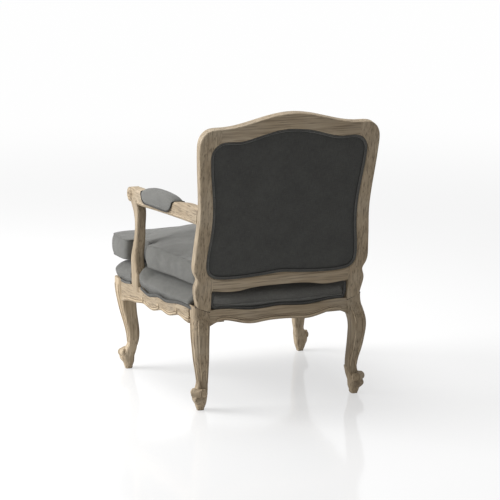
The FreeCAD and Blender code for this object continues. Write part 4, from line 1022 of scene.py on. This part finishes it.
def side_face(distance, out=0.0):
    """Plan point on the left rail's face: along its line, out by the bow's parabola and a further step."""
    share = np.asarray(distance) / SIDE_LENGTH
    bow = SIDE_BOW * (1 - (2 * share - 1) ** 2) + out
    on_line = SIDE_START + np.multiply.outer(np.asarray(distance), SIDE_ALONG)
    return on_line + np.multiply.outer(bow, SIDE_OUT)


def front_face(x, out=0.0):
    """Plan point on the front rail's face: ahead by the bow's parabola and by a further step."""
    y = FRONT_FACE + RAIL_SETBACK - FRONT_BOW * np.clip(1 - (x / FRONT_RAIL_HALF) ** 2, 0, 1) - out
    return np.stack([x, y], axis=-1)


print("side rail", SIDE_LENGTH.round(1), "mm long")

# %% [markdown]
# Where the deck's cover ends on the rails, a double welt hides the tacks. It follows the wavy tops of the
# rails, goes round the front corners over the legs and stops at the arm posts. One closed line would run
# through the posts, so there are three stretches: front, side and rear.

# %% Front and side lines of the hem
HEM_HEIGHT, HEM_DEPTH, HEM_OUT = 8.0, 3.4, -1.0
HEM_LEVEL = RAIL_TOP + HEM_HEIGHT / 2
CORNER_GAP, POST_FRONT, POST_REAR, FRONT_SHARE = 16, 110.0, 186.0, 0.97
MIRROR = [-1, 1, 1]
side_top = wave(SIDE_TOP, SIDE_LENGTH, HEM_LEVEL)
front_top = wave(both_halves(FRONT_TOP), FRONT_RAIL_HALF, HEM_LEVEL)
ahead = side_top[(side_top[:, 0] > CORNER_GAP) & (side_top[:, 0] < POST_FRONT)][::-1]
left_run = lifted(side_face(ahead[:, 0], HEM_OUT), ahead[:, 1])
middle_top = front_top[np.abs(front_top[:, 0]) < FRONT_RAIL_HALF * FRONT_SHARE][::-1]
front_run = lifted(front_face(middle_top[:, 0], HEM_OUT), middle_top[:, 1])
front_hem = smooth_curve(np.concatenate([left_run[::3], front_run[::5], (left_run * MIRROR)[::-3]]), 420)
rearward = side_top[side_top[:, 0] > POST_REAR]
side_hem = lifted(side_face(rearward[:, 0], HEM_OUT), rearward[:, 1])
print("hem points: front", len(front_hem), "and side", len(side_hem))

# %% [markdown]
# At the rear the hem runs along the rail's face between the legs and turns up beside the stiles, where
# the cover is folded round them. The turn could be a separate piece, but a few more marks at both ends of
# the line let the same curve make it.

# %% Rear line of the hem
REAR_HEM_Y, REAR_HEM_HALF, TURN_GAP = REAR_FACE - 9.0, 228.0, 8
rear_top = wave(both_halves(REAR_TOP), REAR_POST_X, HEM_LEVEL)
low_run = rear_top[np.abs(rear_top[:, 0]) < REAR_HEM_HALF - TURN_GAP]
rear_run = np.stack([low_run[:, 0], np.full(len(low_run), REAR_HEM_Y), low_run[:, 1]], axis=1)
turn_up = np.array([[REAR_HEM_HALF, REAR_HEM_Y, RAIL_TOP + 22],
                    [REAR_HEM_HALF, REAR_HEM_Y + 4, RAIL_TOP + 42],
                    [REAR_HEM_HALF - 1, REAR_HEM_Y + 8, RAIL_TOP + 62]])
rear_hem = smooth_curve(np.concatenate([(turn_up * MIRROR)[::-1], rear_run[::6], turn_up]), 300)
print("hem points: rear", len(rear_hem))

# %% [markdown]
# The welt is one strip of cloth over two cords, pressed flat on each rail's face. A Mirror modifier could
# make the right side, but it would double the front and the rear too, so only the side stretch is mirrored.
# The two dark lines of painted shade along the welt come from the same function with thinner profiles.

# %% Welts along the deck
SIDE_NORMAL = [SIDE_OUT[0], SIDE_OUT[1], 0.0]
front_tangent = along(front_hem)
front_inward = unit(np.stack([-front_tangent[:, 1], front_tangent[:, 0], np.zeros(len(front_hem))], axis=1))
hem_paths = ((front_hem, -front_inward, 0.012, False), (side_hem, SIDE_NORMAL, 0.03, True),
             (rear_hem, [0, 1, 0], 0.02, False))


def hem_runs(profile):
    """The profile along every stretch of the hem, and mirrored where the stretch is on one side only."""
    runs = []
    for line, lift, ease, one_sided in hem_paths:
        run = capped(sweep(line, lift, profile, taper=round_taper(len(line), ease)))
        runs += on_both_sides([run]) if one_sided else [run]
    return runs


hem_shade_lines = [run for edge in painted_shade_lines(HEM_HEIGHT) for run in hem_runs(edge)]
dress(joined("deck_double_welt", hem_runs(double_welt(HEM_HEIGHT, HEM_DEPTH))), painted_shade_welt_linen)
dress(joined("deck_welt_shade_lines", hem_shade_lines), painted_shade_linen)

# %% [markdown]
# A cord is sewn along the hem of each arm pad, where the linen meets the wood; its dark colour is painted
# shade along that line. It could be drawn anew, but the pad's grid already holds the hem: its outer columns
# and its end rows. The cord walks along one hem, over the end, back along the other hem and over the other
# end.

# %% Cords along the arm pads' hems
PAD_CORD_SIZE = 3.8


def pad_cord(grid):
    """Closed path along the outer hem, over one end, back along the inner hem and over the other end."""
    outer = grid[1:-1, :PAD_COLUMNS]
    loop = np.concatenate([outer[:, -1], outer[-1, -2:0:-1], outer[::-1, 0], outer[0, 1:-1]])
    return smooth_curve(loop[::2], 360, closed=True)


cord_line = pad_cord(left_pad)
cord_y = cord_line[:, 1]
core_x = np.interp(cord_y, [ARM_TIP_Y, ARM_REAR_Y], [ARM_FRONT_OUT, ARM_REAR_OUT]) - ARM_WIDTH / 2
core = np.stack([core_x, cord_y, np.full(len(cord_y), ARM_CORE)], axis=1)
cord = sweep(cord_line, unit(cord_line - core), circle(PAD_CORD_SIZE, PAD_CORD_SIZE, 12), closed=True)
for side, grid in (("left", cord), ("right", mirror_x(cord))):
    dress(surface("arm_pad_cord_" + side, grid, wrap_rows=True), painted_shade_linen)

# %% [markdown]
# The carver ran a bead along every scallop of the rails and ended it in a small curl over the next cusp.
# A fillet in the CAD could stand for it, but not with curls, so each bead is a thin strip laid on the
# wood. First come its half-round profile, and the lines that a carver would draw on the flat face.

# %% Profiles and lines of the carver
BEAD_SUNK = 1.2


def bead(width, height, steps=9):
    """Half ellipse above the wood, and a base a little under its surface."""
    turn = np.linspace(0.0, math.pi, steps)
    dome = np.stack([np.cos(turn) * width / 2, np.sin(turn) * height], axis=1)
    return np.concatenate([dome, [[-width / 2, -BEAD_SUNK], [width / 2, -BEAD_SUNK]]])


def curl(line, turns, start_radius, end_radius, count=40):
    """Continues a flat line by a spiral: the heading turns evenly while the radius shrinks."""
    step = line[-1] - line[-2]
    heading = math.atan2(step[1], step[0]) + np.linspace(0.0, turns * 2 * math.pi, count)
    radius = np.linspace(start_radius, end_radius, count)
    stride = np.abs(turns) * 2 * math.pi / count * radius
    walk = np.cumsum(np.stack([np.cos(heading), np.sin(heading)], axis=1) * stride[:, None], axis=0)
    return np.concatenate([line, line[-1] + walk])


def raised(line, distance):
    """Flat line moved to its left by a distance."""
    tangent = along(line)
    return line + distance * np.stack([-tangent[:, 1], tangent[:, 0]], axis=1)


print("a bead's profile has", len(bead(1, 1)), "points")

# %% [markdown]
# The faces of the wood are bowed and bent, so a line drawn flat would float or sink. A Shrinkwrap
# modifier could pull the finished strip down, but it would flatten its profile. So the line itself is let
# down first, point by point, on to the part's own surface, and the profile is swept along it after. A
# wider, flatter strip under each bead is its quirk, the groove at its foot.

# %% Laying a bead on the wood
QUIRK_WIDER, QUIRK_HEIGHT = 1.7, 0.35
quirks = []


def settled(path, normal, names, reach=60.0):
    """Each point is let down along the normal on to the first of the named nodes that it meets."""
    normal = np.asarray(normal, float) / np.linalg.norm(normal)
    landed = []
    for start in (path + SHIFT + normal * reach) * MM:
        falls = [nodes[name].ray_cast(start, -normal, distance=2 * reach * MM) for name in names]
        places = [np.array(fall[1]) for fall in falls if fall[0]]
        if places:
            landed.append(max(places, key=lambda spot: spot @ normal))
    return to_drawing(np.array(landed))


def carve(path, normal, names, width, height, ease=0.06):
    """A bead along a path that is let down on to the named nodes; its quirk is kept for later."""
    seat = settled(path, normal, names)
    seat = smooth_curve(seat[::2], len(seat))
    fade = round_taper(len(seat), ease)
    quirks.append(capped(sweep(seat, normal, bead(width + QUIRK_WIDER, QUIRK_HEIGHT, 5), taper=fade)))
    return capped(sweep(seat, normal, bead(width, height), taper=fade))


print("a quirk is", QUIRK_WIDER, "mm wider than its bead")

# %% [markdown]
# Each side rail has uneven scallops that meet in cusps, and the bead follows them from cusp to cusp. The
# rail's lower edge could be read off its mesh, but its marks are few and are the ones that the part used.
# A finer second line runs inside the bead.

# %% Beads of the side rails
RAIL_BOTTOM = 272.0
SIDE_LOW = ((0, -48), (0.1, -22), (0.22, -12), (0.31, -7), (0.37, -2), (0.45, -8), (0.53, -7), (0.595, 4),
            (0.69, -1), (0.76, 5), (0.82, 14), (0.88, 9), (1, 8))
CUSPS, AFTER_CUSP, BEFORE_CUSP = (0.08, 0.37, 0.595, 0.82, 0.97), 0.012, 0.004
SIDE_NODES = ["side_seat_rail_left", "front_leg_left", "rear_leg_left"]
CURL_START, CURL_LOSS, CURL_END = 8.0, 0.25, 2.5
SIDE_LINES = ((6.0, 6.0, 3.2, 0.95), (13.0, 3.0, 1.8, 0.6))
side_low = wave(SIDE_LOW, SIDE_LENGTH, RAIL_BOTTOM)
side_beads = []
for start, end in zip(CUSPS, CUSPS[1:]):
    after = side_low[:, 0] > (start + AFTER_CUSP) * SIDE_LENGTH
    before = side_low[:, 0] < (end - BEFORE_CUSP) * SIDE_LENGTH
    scallop = smooth_curve(side_low[after & before][::3], 60)
    for gap, width, height, turns in SIDE_LINES:
        line = curl(raised(scallop, gap), turns, CURL_START - CURL_LOSS * gap, CURL_END)
        on_face = lifted(side_face(line[:, 0]), line[:, 1])
        side_beads.append(carve(on_face, SIDE_NORMAL, SIDE_NODES, width, height))
dress(joined("side_rail_beads", on_both_sides(side_beads)), wear_and_highlight_oak[GRAIN_ALONG])

# %% [markdown]
# The front and rear rails have even scallops, the same on both sides of the middle, so the marks of one
# half are enough, and the other half is their mirror image. Their beads could end in curls too, but here
# they run through, with a finer line above, and stop short of the legs.

# %% Beads of the front and rear rails
FRONT_LOW = ((0, -20), (0.13, -15), (0.28, -4), (0.5, 3), (0.7, 1), (0.86, -9), (1, -36))
REAR_LOW = ((0, 2), (0.19, 0), (0.34, -4), (0.48, 0), (0.63, 10), (0.77, 13), (0.86, 5), (1, -16))
REAR_NODES = ["rear_seat_rail", "rear_leg_left", "rear_leg_right"]
CROSS_SHARE, CROSS_LINES = 0.84, ((7.0, 6.0, 3.0), (14.0, 2.6, 1.6))
cross_beads = []
for marks, half, face, normal, names in (
        (FRONT_LOW, FRONT_RAIL_HALF, FRONT_FACE, [0, -1, 0], ["front_seat_rail"]),
        (REAR_LOW, REAR_POST_X, REAR_FACE, [0, 1, 0], REAR_NODES)):
    edge = wave(both_halves(marks), half, RAIL_BOTTOM)
    edge = edge[np.abs(edge[:, 0]) < half * CROSS_SHARE]
    for gap, width, height in CROSS_LINES:
        line = raised(edge, gap)
        on_face = np.stack([line[:, 0], np.full(len(line), face), line[:, 1]], axis=1)
        cross_beads.append(carve(on_face, normal, names, width, height))
dress(joined("cross_rail_beads", cross_beads), wear_and_highlight_oak[GRAIN_ACROSS])

# %% [markdown]
# A cabriole leg is square in section and bends out at the knee and in at the ankle. A bead runs down each
# edge of its outer faces. The leg's middle line and its growing side are one smooth curve of four
# numbers, so a line beside an edge is the middle moved across by a share of the side.

# %% Middle lines of the legs
FRONT_FOOT, REAR_FOOT = (318, -271), (268, 296)
ANKLE_HEIGHT, ANKLE_SIDE, REAR_LEG_TOP = 92.0, 33.0, 353.0
FRONT_POST_SIDE, REAR_POST_SIDE = 62.0, 54.0
FRONT_SHIN = ((0, -12.5, 0), (0.08, -13.8, 0.12), (0.22, -11.8, 0.29), (0.4, -5.3, 0.48), (0.6, 0.8, 0.72),
              (0.78, 4, 0.93), (0.91, 5, 1), (1, 5, 1))
REAR_SHIN = ((0, -9.3, -6.3, 0), (0.1, -8, -3.5, 0.13), (0.24, -3.5, 3.7, 0.42), (0.38, 0, 9, 0.62),
             (0.52, 2.5, 12, 0.78), (0.66, 0, 4, 0.92), (0.82, -7, -16, 1), (1, -7, -16, 1))


def leg_line(foot, stations, top, post):
    """Smooth curve of a leg's middle and side, by share of height, shift in x and y, and share of growth."""
    rows = [(foot[0] + shift_x, foot[1] + shift_y, ANKLE_HEIGHT + (top - ANKLE_HEIGHT) * share,
             ANKLE_SIDE + (post - ANKLE_SIDE) * growth) for share, shift_x, shift_y, growth in stations]
    return smooth_curve(rows, 90)


diagonal_shin = [(share, shift, -shift, growth) for share, shift, growth in FRONT_SHIN]
front_leg_line = leg_line(FRONT_FOOT, diagonal_shin, RAIL_TOP, FRONT_POST_SIDE)
rear_leg_line = leg_line(REAR_FOOT, REAR_SHIN, REAR_LEG_TOP, REAR_POST_SIDE)
print("front leg's side grows to", front_leg_line[:, 3].max().round(1), "mm")

# %% [markdown]
# The bead could be cut into the leg itself, but the leg is a node of the part and stays as it is. So each
# line starts well outside the leg and is let down on to it along the face's normal, as on the rails. It
# stays clear of the leg's rounded edge, which takes up a fifth of the side.

# %% Beads of the legs
BEAD_LOW, BEAD_HIGH, ROUNDED_SHARE, BEAD_INSET, CLEAR_OF_LEG = 84, 300, 0.2, 2.0, 30
LEG_BEAD_WIDTH, LEG_BEAD_HEIGHT = 4.6, 2.4
leg_beads = []
for middle_line, name, normals in ((front_leg_line, "front_leg_left", ([1, 0, 0], [0, -1, 0])),
                                   (rear_leg_line, "rear_leg_left", ([1, 0, 0], [0, 1, 0]))):
    shin = middle_line[(middle_line[:, 2] > BEAD_LOW) & (middle_line[:, 2] < BEAD_HIGH)]
    middle, side = shin[:, :3], shin[:, 3:]
    for normal in normals:
        sideways = np.array([normal[1], normal[0], 0]) != 0
        for sign in (-1, 1):
            beside = middle + sideways * (sign * (side * 0.5 - ROUNDED_SHARE * side - BEAD_INSET))
            outside = beside + np.array(normal) * CLEAR_OF_LEG
            leg_beads.append(carve(outside, normal, [name], LEG_BEAD_WIDTH, LEG_BEAD_HEIGHT, 0.04))
dress(joined("leg_beads", on_both_sides(leg_beads)), wear_and_highlight_oak[GRAIN_UP])

# %% [markdown]
# Each foot swells into a toe, and a scroll is rolled round its outer corner. A sphere or a turned foot
# would be wrong from the side, because the leg's square section runs on into the toe. So sections that
# are half way between square and round go from the floor to the ankle, and a fat roll is bent round them.

# %% Rolls of the toes
TOE_LOW, TOE_HIGH, TOE_CORNER = 0.3, 90.0, 0.6
TOE_HEIGHTS = (0, 12, 24, 45, 64, 80, 92)
TOE_SIDES = (20, 29, 36, 44, 40, 35, 32)
TOE_SHIFTS = (0, -0.3, -0.6, 1.6, -5, -9.5, -12.5)
ROLL_OUT, ROLL_HEIGHT, ROLL_WIDTH, ROLL_DEPTH, ROLL_HALF_TURN = 18.5, 57.0, 24.0, 27.0, 88.0


def toe_flow(foot, out_x, out_y, rows=44, columns=40):
    """Superellipse sections, whose side and shift outwards are read from the tables at each height."""
    z = np.linspace(TOE_LOW, TOE_HIGH, rows)
    side, shift = np.interp(z, TOE_HEIGHTS, TOE_SIDES), np.interp(z, TOE_HEIGHTS, TOE_SHIFTS)
    turn = np.linspace(0.0, 2 * math.pi, columns, endpoint=False)
    corner = np.stack([np.cos(turn), np.sin(turn)], axis=1)
    square = np.sign(corner) * np.abs(corner) ** TOE_CORNER
    middle = np.array(foot) + shift[:, None] * np.array([out_x, out_y])
    plan = middle[:, None] + side[:, None, None] / 2 * square[None]
    height = np.broadcast_to(z[:, None, None], plan.shape[:2] + (1,))
    return capped(np.concatenate([plan, height], axis=2))


def toe_roll(foot, heading, count=60):
    """An ellipse carried along an arc round the foot, whose middle points outwards."""
    turn = np.radians(heading + np.linspace(-ROLL_HALF_TURN, ROLL_HALF_TURN, count))
    arc = np.stack([foot[0] + ROLL_OUT * np.cos(turn), foot[1] + ROLL_OUT * np.sin(turn),
                    np.full(count, ROLL_HEIGHT)], axis=1)
    section = circle(ROLL_WIDTH, ROLL_DEPTH, 20)
    return capped(sweep(arc, [0, 0, 1], section, taper=round_taper(count, 0.1, 0.4)))


toes = [toe_flow(FRONT_FOOT, 1, -1), toe_roll(FRONT_FOOT, -45),
        toe_flow(REAR_FOOT, 1, 1), toe_roll(REAR_FOOT, 45)]
dress(joined("toe_rolls", on_both_sides(toes)), wear_and_highlight_oak[GRAIN_UP])

# %% [markdown]
# The knuckle of each arm carries a volute, a spiral on its outer and on its inner side, and a bead runs
# along the arm's outer side, low down. A spiral curve object would have to be placed and turned by hand.
# Here it is a formula in the plane of the arm's side, let down on to the wood like the other beads.

# %% Volutes and beads of the arms
KNUCKLE, VOLUTE_RADIUS, VOLUTE_TURNS = 0.95, 19.0, 1.6
INNER_STEP = [40, 0, 0]
UNDER_SHARES, UNDER_RISES, UNDER_BEAD = (0, 0.24, 0.52, 0.81, 0.89, 0.96), (4, 3.5, 0, -5, -4, 2), 11


def volute(y, z, radius, turns, count=90):
    """Spiral in the plane of the arm's side, whose radius shrinks evenly to a quarter."""
    turn = np.linspace(0.0, turns * 2 * math.pi, count) + math.pi * 0.5
    size = np.linspace(radius, radius / 4, count)
    x = np.full(count, ARM_FRONT_OUT)
    return np.stack([x, y - size * np.cos(turn), z + size * np.sin(turn)], axis=1)


spiral = volute(arm_at(KNUCKLE)[0], ARM_CORE, VOLUTE_RADIUS, VOLUTE_TURNS)
arm_share = np.linspace(0.06, 0.88, 120)
arm_y, arm_out = arm_at(arm_share)
under_arm = np.interp(arm_share, UNDER_SHARES, UNDER_RISES) + ARM_UNDER + UNDER_BEAD
under_line = np.stack([arm_out, arm_y, under_arm], axis=1)
ARM_LINES = ((spiral, [1, 0, 0], 4.0, 2.0), (spiral - INNER_STEP, [-1, 0, 0], 4.0, 2.0),
             (under_line, [1, 0, 0], 3.2, 1.6))
arm_beads = [carve(line, normal, ["armrest_left"], width, height, 0.03)
             for line, normal, width, height in ARM_LINES]
dress(joined("arm_beads", on_both_sides(arm_beads)), wear_and_highlight_oak[GRAIN_ALONG])

# %% [markdown]
# Towards the sitter the back's frame carries a bead and a finer line along its outer edge. They could be
# let down on to the wood like the others, but this face is flat in the back's plane. So the frame's
# outline is moved inwards by a gap and swept.

# %% Beads of the back frame
OUTER_HALF = [(0, CREST_TOP), (75, 941), (165, 919), (230, SHOULDER), (279, 904), (295, 887),
              (SHOULDER_HALF, 835), (294.5, 737), (WAIST_HALF, 620), (293, 550), (HIP_HALF, 490), (292, 440)]
BACK_LINES = ((9.0, 5.0, 2.6), (14.5, 2.4, 1.4))
outer_line = smooth_curve([(-x, z) for x, z in OUTER_HALF[:0:-1]] + OUTER_HALF, 420)
back_beads = []
for gap, width, height in BACK_LINES:
    line = raised(outer_line, -gap)
    seat = back_plane(line[:, 0], line[:, 1], np.full(len(line), BACK_THICKNESS))
    fade = round_taper(len(seat), 0.02)
    back_beads.append(capped(sweep(seat, BACK_INWARD, bead(width, height), taper=fade)))
dress(joined("back_frame_beads", back_beads), wear_and_highlight_oak[GRAIN_UP])

# %% [markdown]
# Wax and dust darken the quirks, the narrow grooves at the foot of each bead, and their dark strips are
# painted shade too. The joint between a rear leg and its stile shows as a dark hairline too, sloping on the
# rear face and level on the side. A dark line could be painted into the oak by a mask, but thin strips are
# sharp at any distance.

# %% Quirks and joint lines
SEAM_SLOPE = math.tan(math.radians(22.0))
JOINT_SIDE, JOINT_STEPS, JOINT_WIDTH, JOINT_HEIGHT = 288.0, 24, 3.2, 0.6
joint_x, joint_y = np.linspace(236.0, 286.0, JOINT_STEPS), np.linspace(256.0, 303.0, JOINT_STEPS)
steady = np.ones(JOINT_STEPS)
sloping = np.stack([joint_x, REAR_FACE * steady, BACK_SEAM + (joint_x - REAR_POST_X) * SEAM_SLOPE], axis=1)
side_height = BACK_SEAM + (JOINT_SIDE - REAR_POST_X) * SEAM_SLOPE
level = np.stack([JOINT_SIDE * steady, joint_y, side_height * steady], axis=1)
joints = []
for line, normal in ((sloping, [0, 1, 0]), (level, [1, 0, 0])):
    seat = settled(line, normal, ["rear_leg_left", "back_stile_left"])
    joints.append(capped(sweep(seat, normal, bead(JOINT_WIDTH, JOINT_HEIGHT, 5))))


def darkened_groove(name, dark, light):
    """Wood darkened along a groove or joint, unevenly along it; in a quirk by wax and dust and by painted
    shade.
    """
    material, shader, where, _ = new_finish(name, Roughness=0.7)
    connect(shader, Base_Color=where.noise(60.0).tint((*dark, 1), (*light, 1)))
    return material


left_quirks = [grid for grid in quirks if grid[..., 0].min() > 0]
quirk_wax_and_shade = darkened_groove("quirk_wax_and_painted_shade", (0.085, 0.062, 0.040), (0.15, 0.112, 0.075))
joint_wax = darkened_groove("darkened_joint", (0.035, 0.026, 0.017), (0.065, 0.048, 0.032))
dress(joined("quirks", quirks + [mirror_x(grid) for grid in left_quirks]), quirk_wax_and_shade)
dress(joined("joint_lines", on_both_sides(joints)), joint_wax)

# %% [markdown]
# Under the seat, straps of jute webbing cross each other, a coarse cloth lies on them, and a thin lining
# closes the frame from below. Both cloths are tacked all round, so a free cloth simulation would add
# nothing: each is stretched over its node's outline, and the lining sinks a little in the middle by its
# own weight.

# %% Stretched sheets
SHEET_CORNER = 0.5


def stretched_sheet(name, node, material, sag, rows=16, count=200):
    """Rings from the middle to a flat node's outline, sunk by a parabola, and the same rings back below."""
    points = positions(nodes[node])
    plan = np.unique(points[:, :2].round(2), axis=0)
    middle = (plan.min(axis=0) + plan.max(axis=0)) / 2
    around = plan - middle
    plan = plan[np.argsort(np.arctan2(around[:, 1], around[:, 0]))]
    edge = rounded_outline([(x, y, SHEET_CORNER) for x, y in plan], count)
    low, high = points[:, 2].min(), points[:, 2].max()
    out = np.linspace(0.0, 1.0, rows)
    ring = np.concatenate([out, out[::-1]])
    height = np.concatenate([np.full(rows, high), np.full(rows, low)]) - sag * (1 - ring ** 2)
    spread = middle + ring[:, None, None] * (edge[None] - middle)
    grid = np.concatenate([spread, np.broadcast_to(height[:, None, None], spread.shape[:2] + (1,))], axis=2)
    sheet = surface(name, grid)
    dress(sheet, material, replaced=[node])


jute = linen("jute_webbing", (0.26, 0.19, 0.10), (0.48, 0.37, 0.23), pitch=0.0022, fuzz=0.1)
lining = linen("black_lining", (0.012, 0.012, 0.012), (0.03, 0.03, 0.03), pitch=0.0008, fuzz=0.1)
for name in ("seat_straps_along", "seat_straps_across", "back_straps"):
    paint_node(name, jute)
stretched_sheet("hessian_sheet", "seat_hessian", jute, 0.0)
stretched_sheet("bottom_lining", "dust_cover", lining, 2.5)

# %% [markdown]
# Dowels hold the frame's joints, and steel screws hold the blocks in its corners. Both are nodes of the
# part and are almost hidden, so a finish is all that they need. The steel's roughness varies a little,
# because a screw from a box is never evenly bright.

# %% Dowels and screws
STEEL_GREY = (0.42, 0.41, 0.38, 1)
steel, steel_shader, steel_where, _ = new_finish("screw_steel", Base_Color=STEEL_GREY, Metallic=1.0)
connect(steel_shader, Roughness=0.32 + steel_where.noise(900.0) * 0.2)
paint_node("corner_block_screws", steel)
dowels = ("rail_dowels", "back_member_dowels", "stile_dowels", "arm_dowels")
for name in dowels:
    paint_node(name, oak[GRAIN_UP])
print("oak dowels", dowels)

# %% [markdown]
# The room is a glossy white floor that runs out to a white background. Plain white light from all sides
# would wash over the chair. So only camera, glossy and transmission rays see the full white, and the
# light that falls on the chair comes from a dimmer world and from two lamps.

# %% Floor
FLOOR_WHITE, FLOOR_HALF = (0.87, 0.87, 0.87, 1), 14000.0
NEAR_GLOW, FAR_GLOW, GLOW_START, GLOW_FULL = 0.52, 0.46, 1.5, 6.0
WHITE = (1, 1, 1, 1)


def sees_background(field):
    """1 for camera, glossy and transmission rays, which see the white room; 0 for the light on the chair."""
    rays = field.make("ShaderNodeLightPath").socket.node
    camera, glossy, through = (Field(rays.outputs[f"Is {kind} Ray"])
                               for kind in ("Camera", "Glossy", "Transmission"))
    return camera.math("MAXIMUM", camera.math("MAXIMUM", camera, glossy), through)


floor_finish, floor_shader, floor_where, _ = new_finish("white_floor", Base_Color=FLOOR_WHITE, Roughness=0.1)
distance = floor_where.make("ShaderNodeVectorMath", {"operation": "LENGTH"}, {0: floor_where}, output=1)
glow_share = sees_background(floor_where) * (NEAR_GLOW + distance.step(GLOW_START, GLOW_FULL) * FAR_GLOW)
glow = floor_where.make("ShaderNodeEmission", None, {"Color": WHITE, "Strength": 1.0})
lit = glow.make("ShaderNodeMixShader", None, {0: glow_share, 1: Field(floor_shader.outputs[0]), 2: glow})
floor_output = floor_finish.node_tree.nodes["Material Output"]
floor_finish.node_tree.links.new(lit.socket, floor_output.inputs["Surface"])
span = np.array([-FLOOR_HALF, FLOOR_HALF])
floor_grid = np.stack(np.broadcast_arrays(span[:, None], span[None, :], np.zeros((2, 2))), axis=-1)
floor = surface("floor", floor_grid, wrap_columns=False)
floor.data.materials.append(floor_finish)
print("floor", 2 * FLOOR_HALF * MM, "m wide")

# %% [markdown]
# The world is the background behind everything, and also a soft light from every side. One strength for
# both would make either a grey background or a flat chair, so the same rays choose between two.

# %% World
WORLD_LIGHT, WORLD_SEEN = 0.32, 1.0
world = bpy.data.worlds.new("studio")
bpy.context.scene.world = world
world.use_nodes = True
background = world.node_tree.nodes["Background"]
seen = sees_background(Field(background.outputs[0]))
strength = seen * (WORLD_SEEN - WORLD_LIGHT) + WORLD_LIGHT
world.node_tree.links.new(strength.socket, background.inputs["Strength"])
background.inputs["Color"].default_value = WHITE
print("background", WORLD_SEEN, "and its light", WORLD_LIGHT)

# %% [markdown]
# A large lamp stands on the sitter's left, and a second one hangs overhead. Point lamps would cast hard
# shadows, and the chair's are soft, so both are squares more than two metres wide. Their places are in
# metres.

# %% Lamps
CHAIR_MIDDLE = (0, 0, 0.5)


def look_at(thing, place_m, target_m):
    """Puts a lamp or a camera at a place, with its own minus z towards the target."""
    thing.location = place_m
    thing.rotation_euler = (Vector(target_m) - Vector(place_m)).to_track_quat("-Z", "Y").to_euler()


def soft_light(name, place_m, size, power):
    """A square lamp that faces the middle of the chair."""
    lamp = bpy.data.lights.new(name, "AREA")
    lamp.shape, lamp.size, lamp.energy = "SQUARE", size, power
    made = bpy.data.objects.new(name, lamp)
    bpy.context.scene.collection.objects.link(made)
    look_at(made, place_m, CHAIR_MIDDLE)
    print(name, "lamp of", power, "W")


soft_light("key", (3.2, -1.5, 1.9), 2.2, 165)
soft_light("top", (0.5, -0.6, 3.4), 2.6, 95)

# %% [markdown]
# The photograph looks at the chair from behind its left side, from a little above and from far away, so
# that its lines hardly converge. A short lens close by would spread the legs, so a long one stands nearly
# seven metres away. Its place and target are millimetres of the drawing.

# %% Camera
FOCAL_LENGTH, SENSOR_WIDTH = 153.06, 36.0
CAMERA_PLACE, CAMERA_TARGET = np.array([2531.0, 6395.2, 1900.6]), np.array([94.8, 290.0, 503.3])
lens = bpy.data.cameras.new("photo_view")
lens.lens, lens.sensor_width = FOCAL_LENGTH, SENSOR_WIDTH
camera = bpy.data.objects.new("photo_view", lens)
bpy.context.scene.collection.objects.link(camera)
look_at(camera, to_part(CAMERA_PLACE), to_part(CAMERA_TARGET))
bpy.context.scene.camera = camera
bpy.context.scene.view_settings.view_transform = "Standard"
print("camera", np.linalg.norm(CAMERA_PLACE - CAMERA_TARGET).round(), "mm from its target")

# %% [markdown]
# Cloth and carving may stand a few millimetres proud of the plain part.
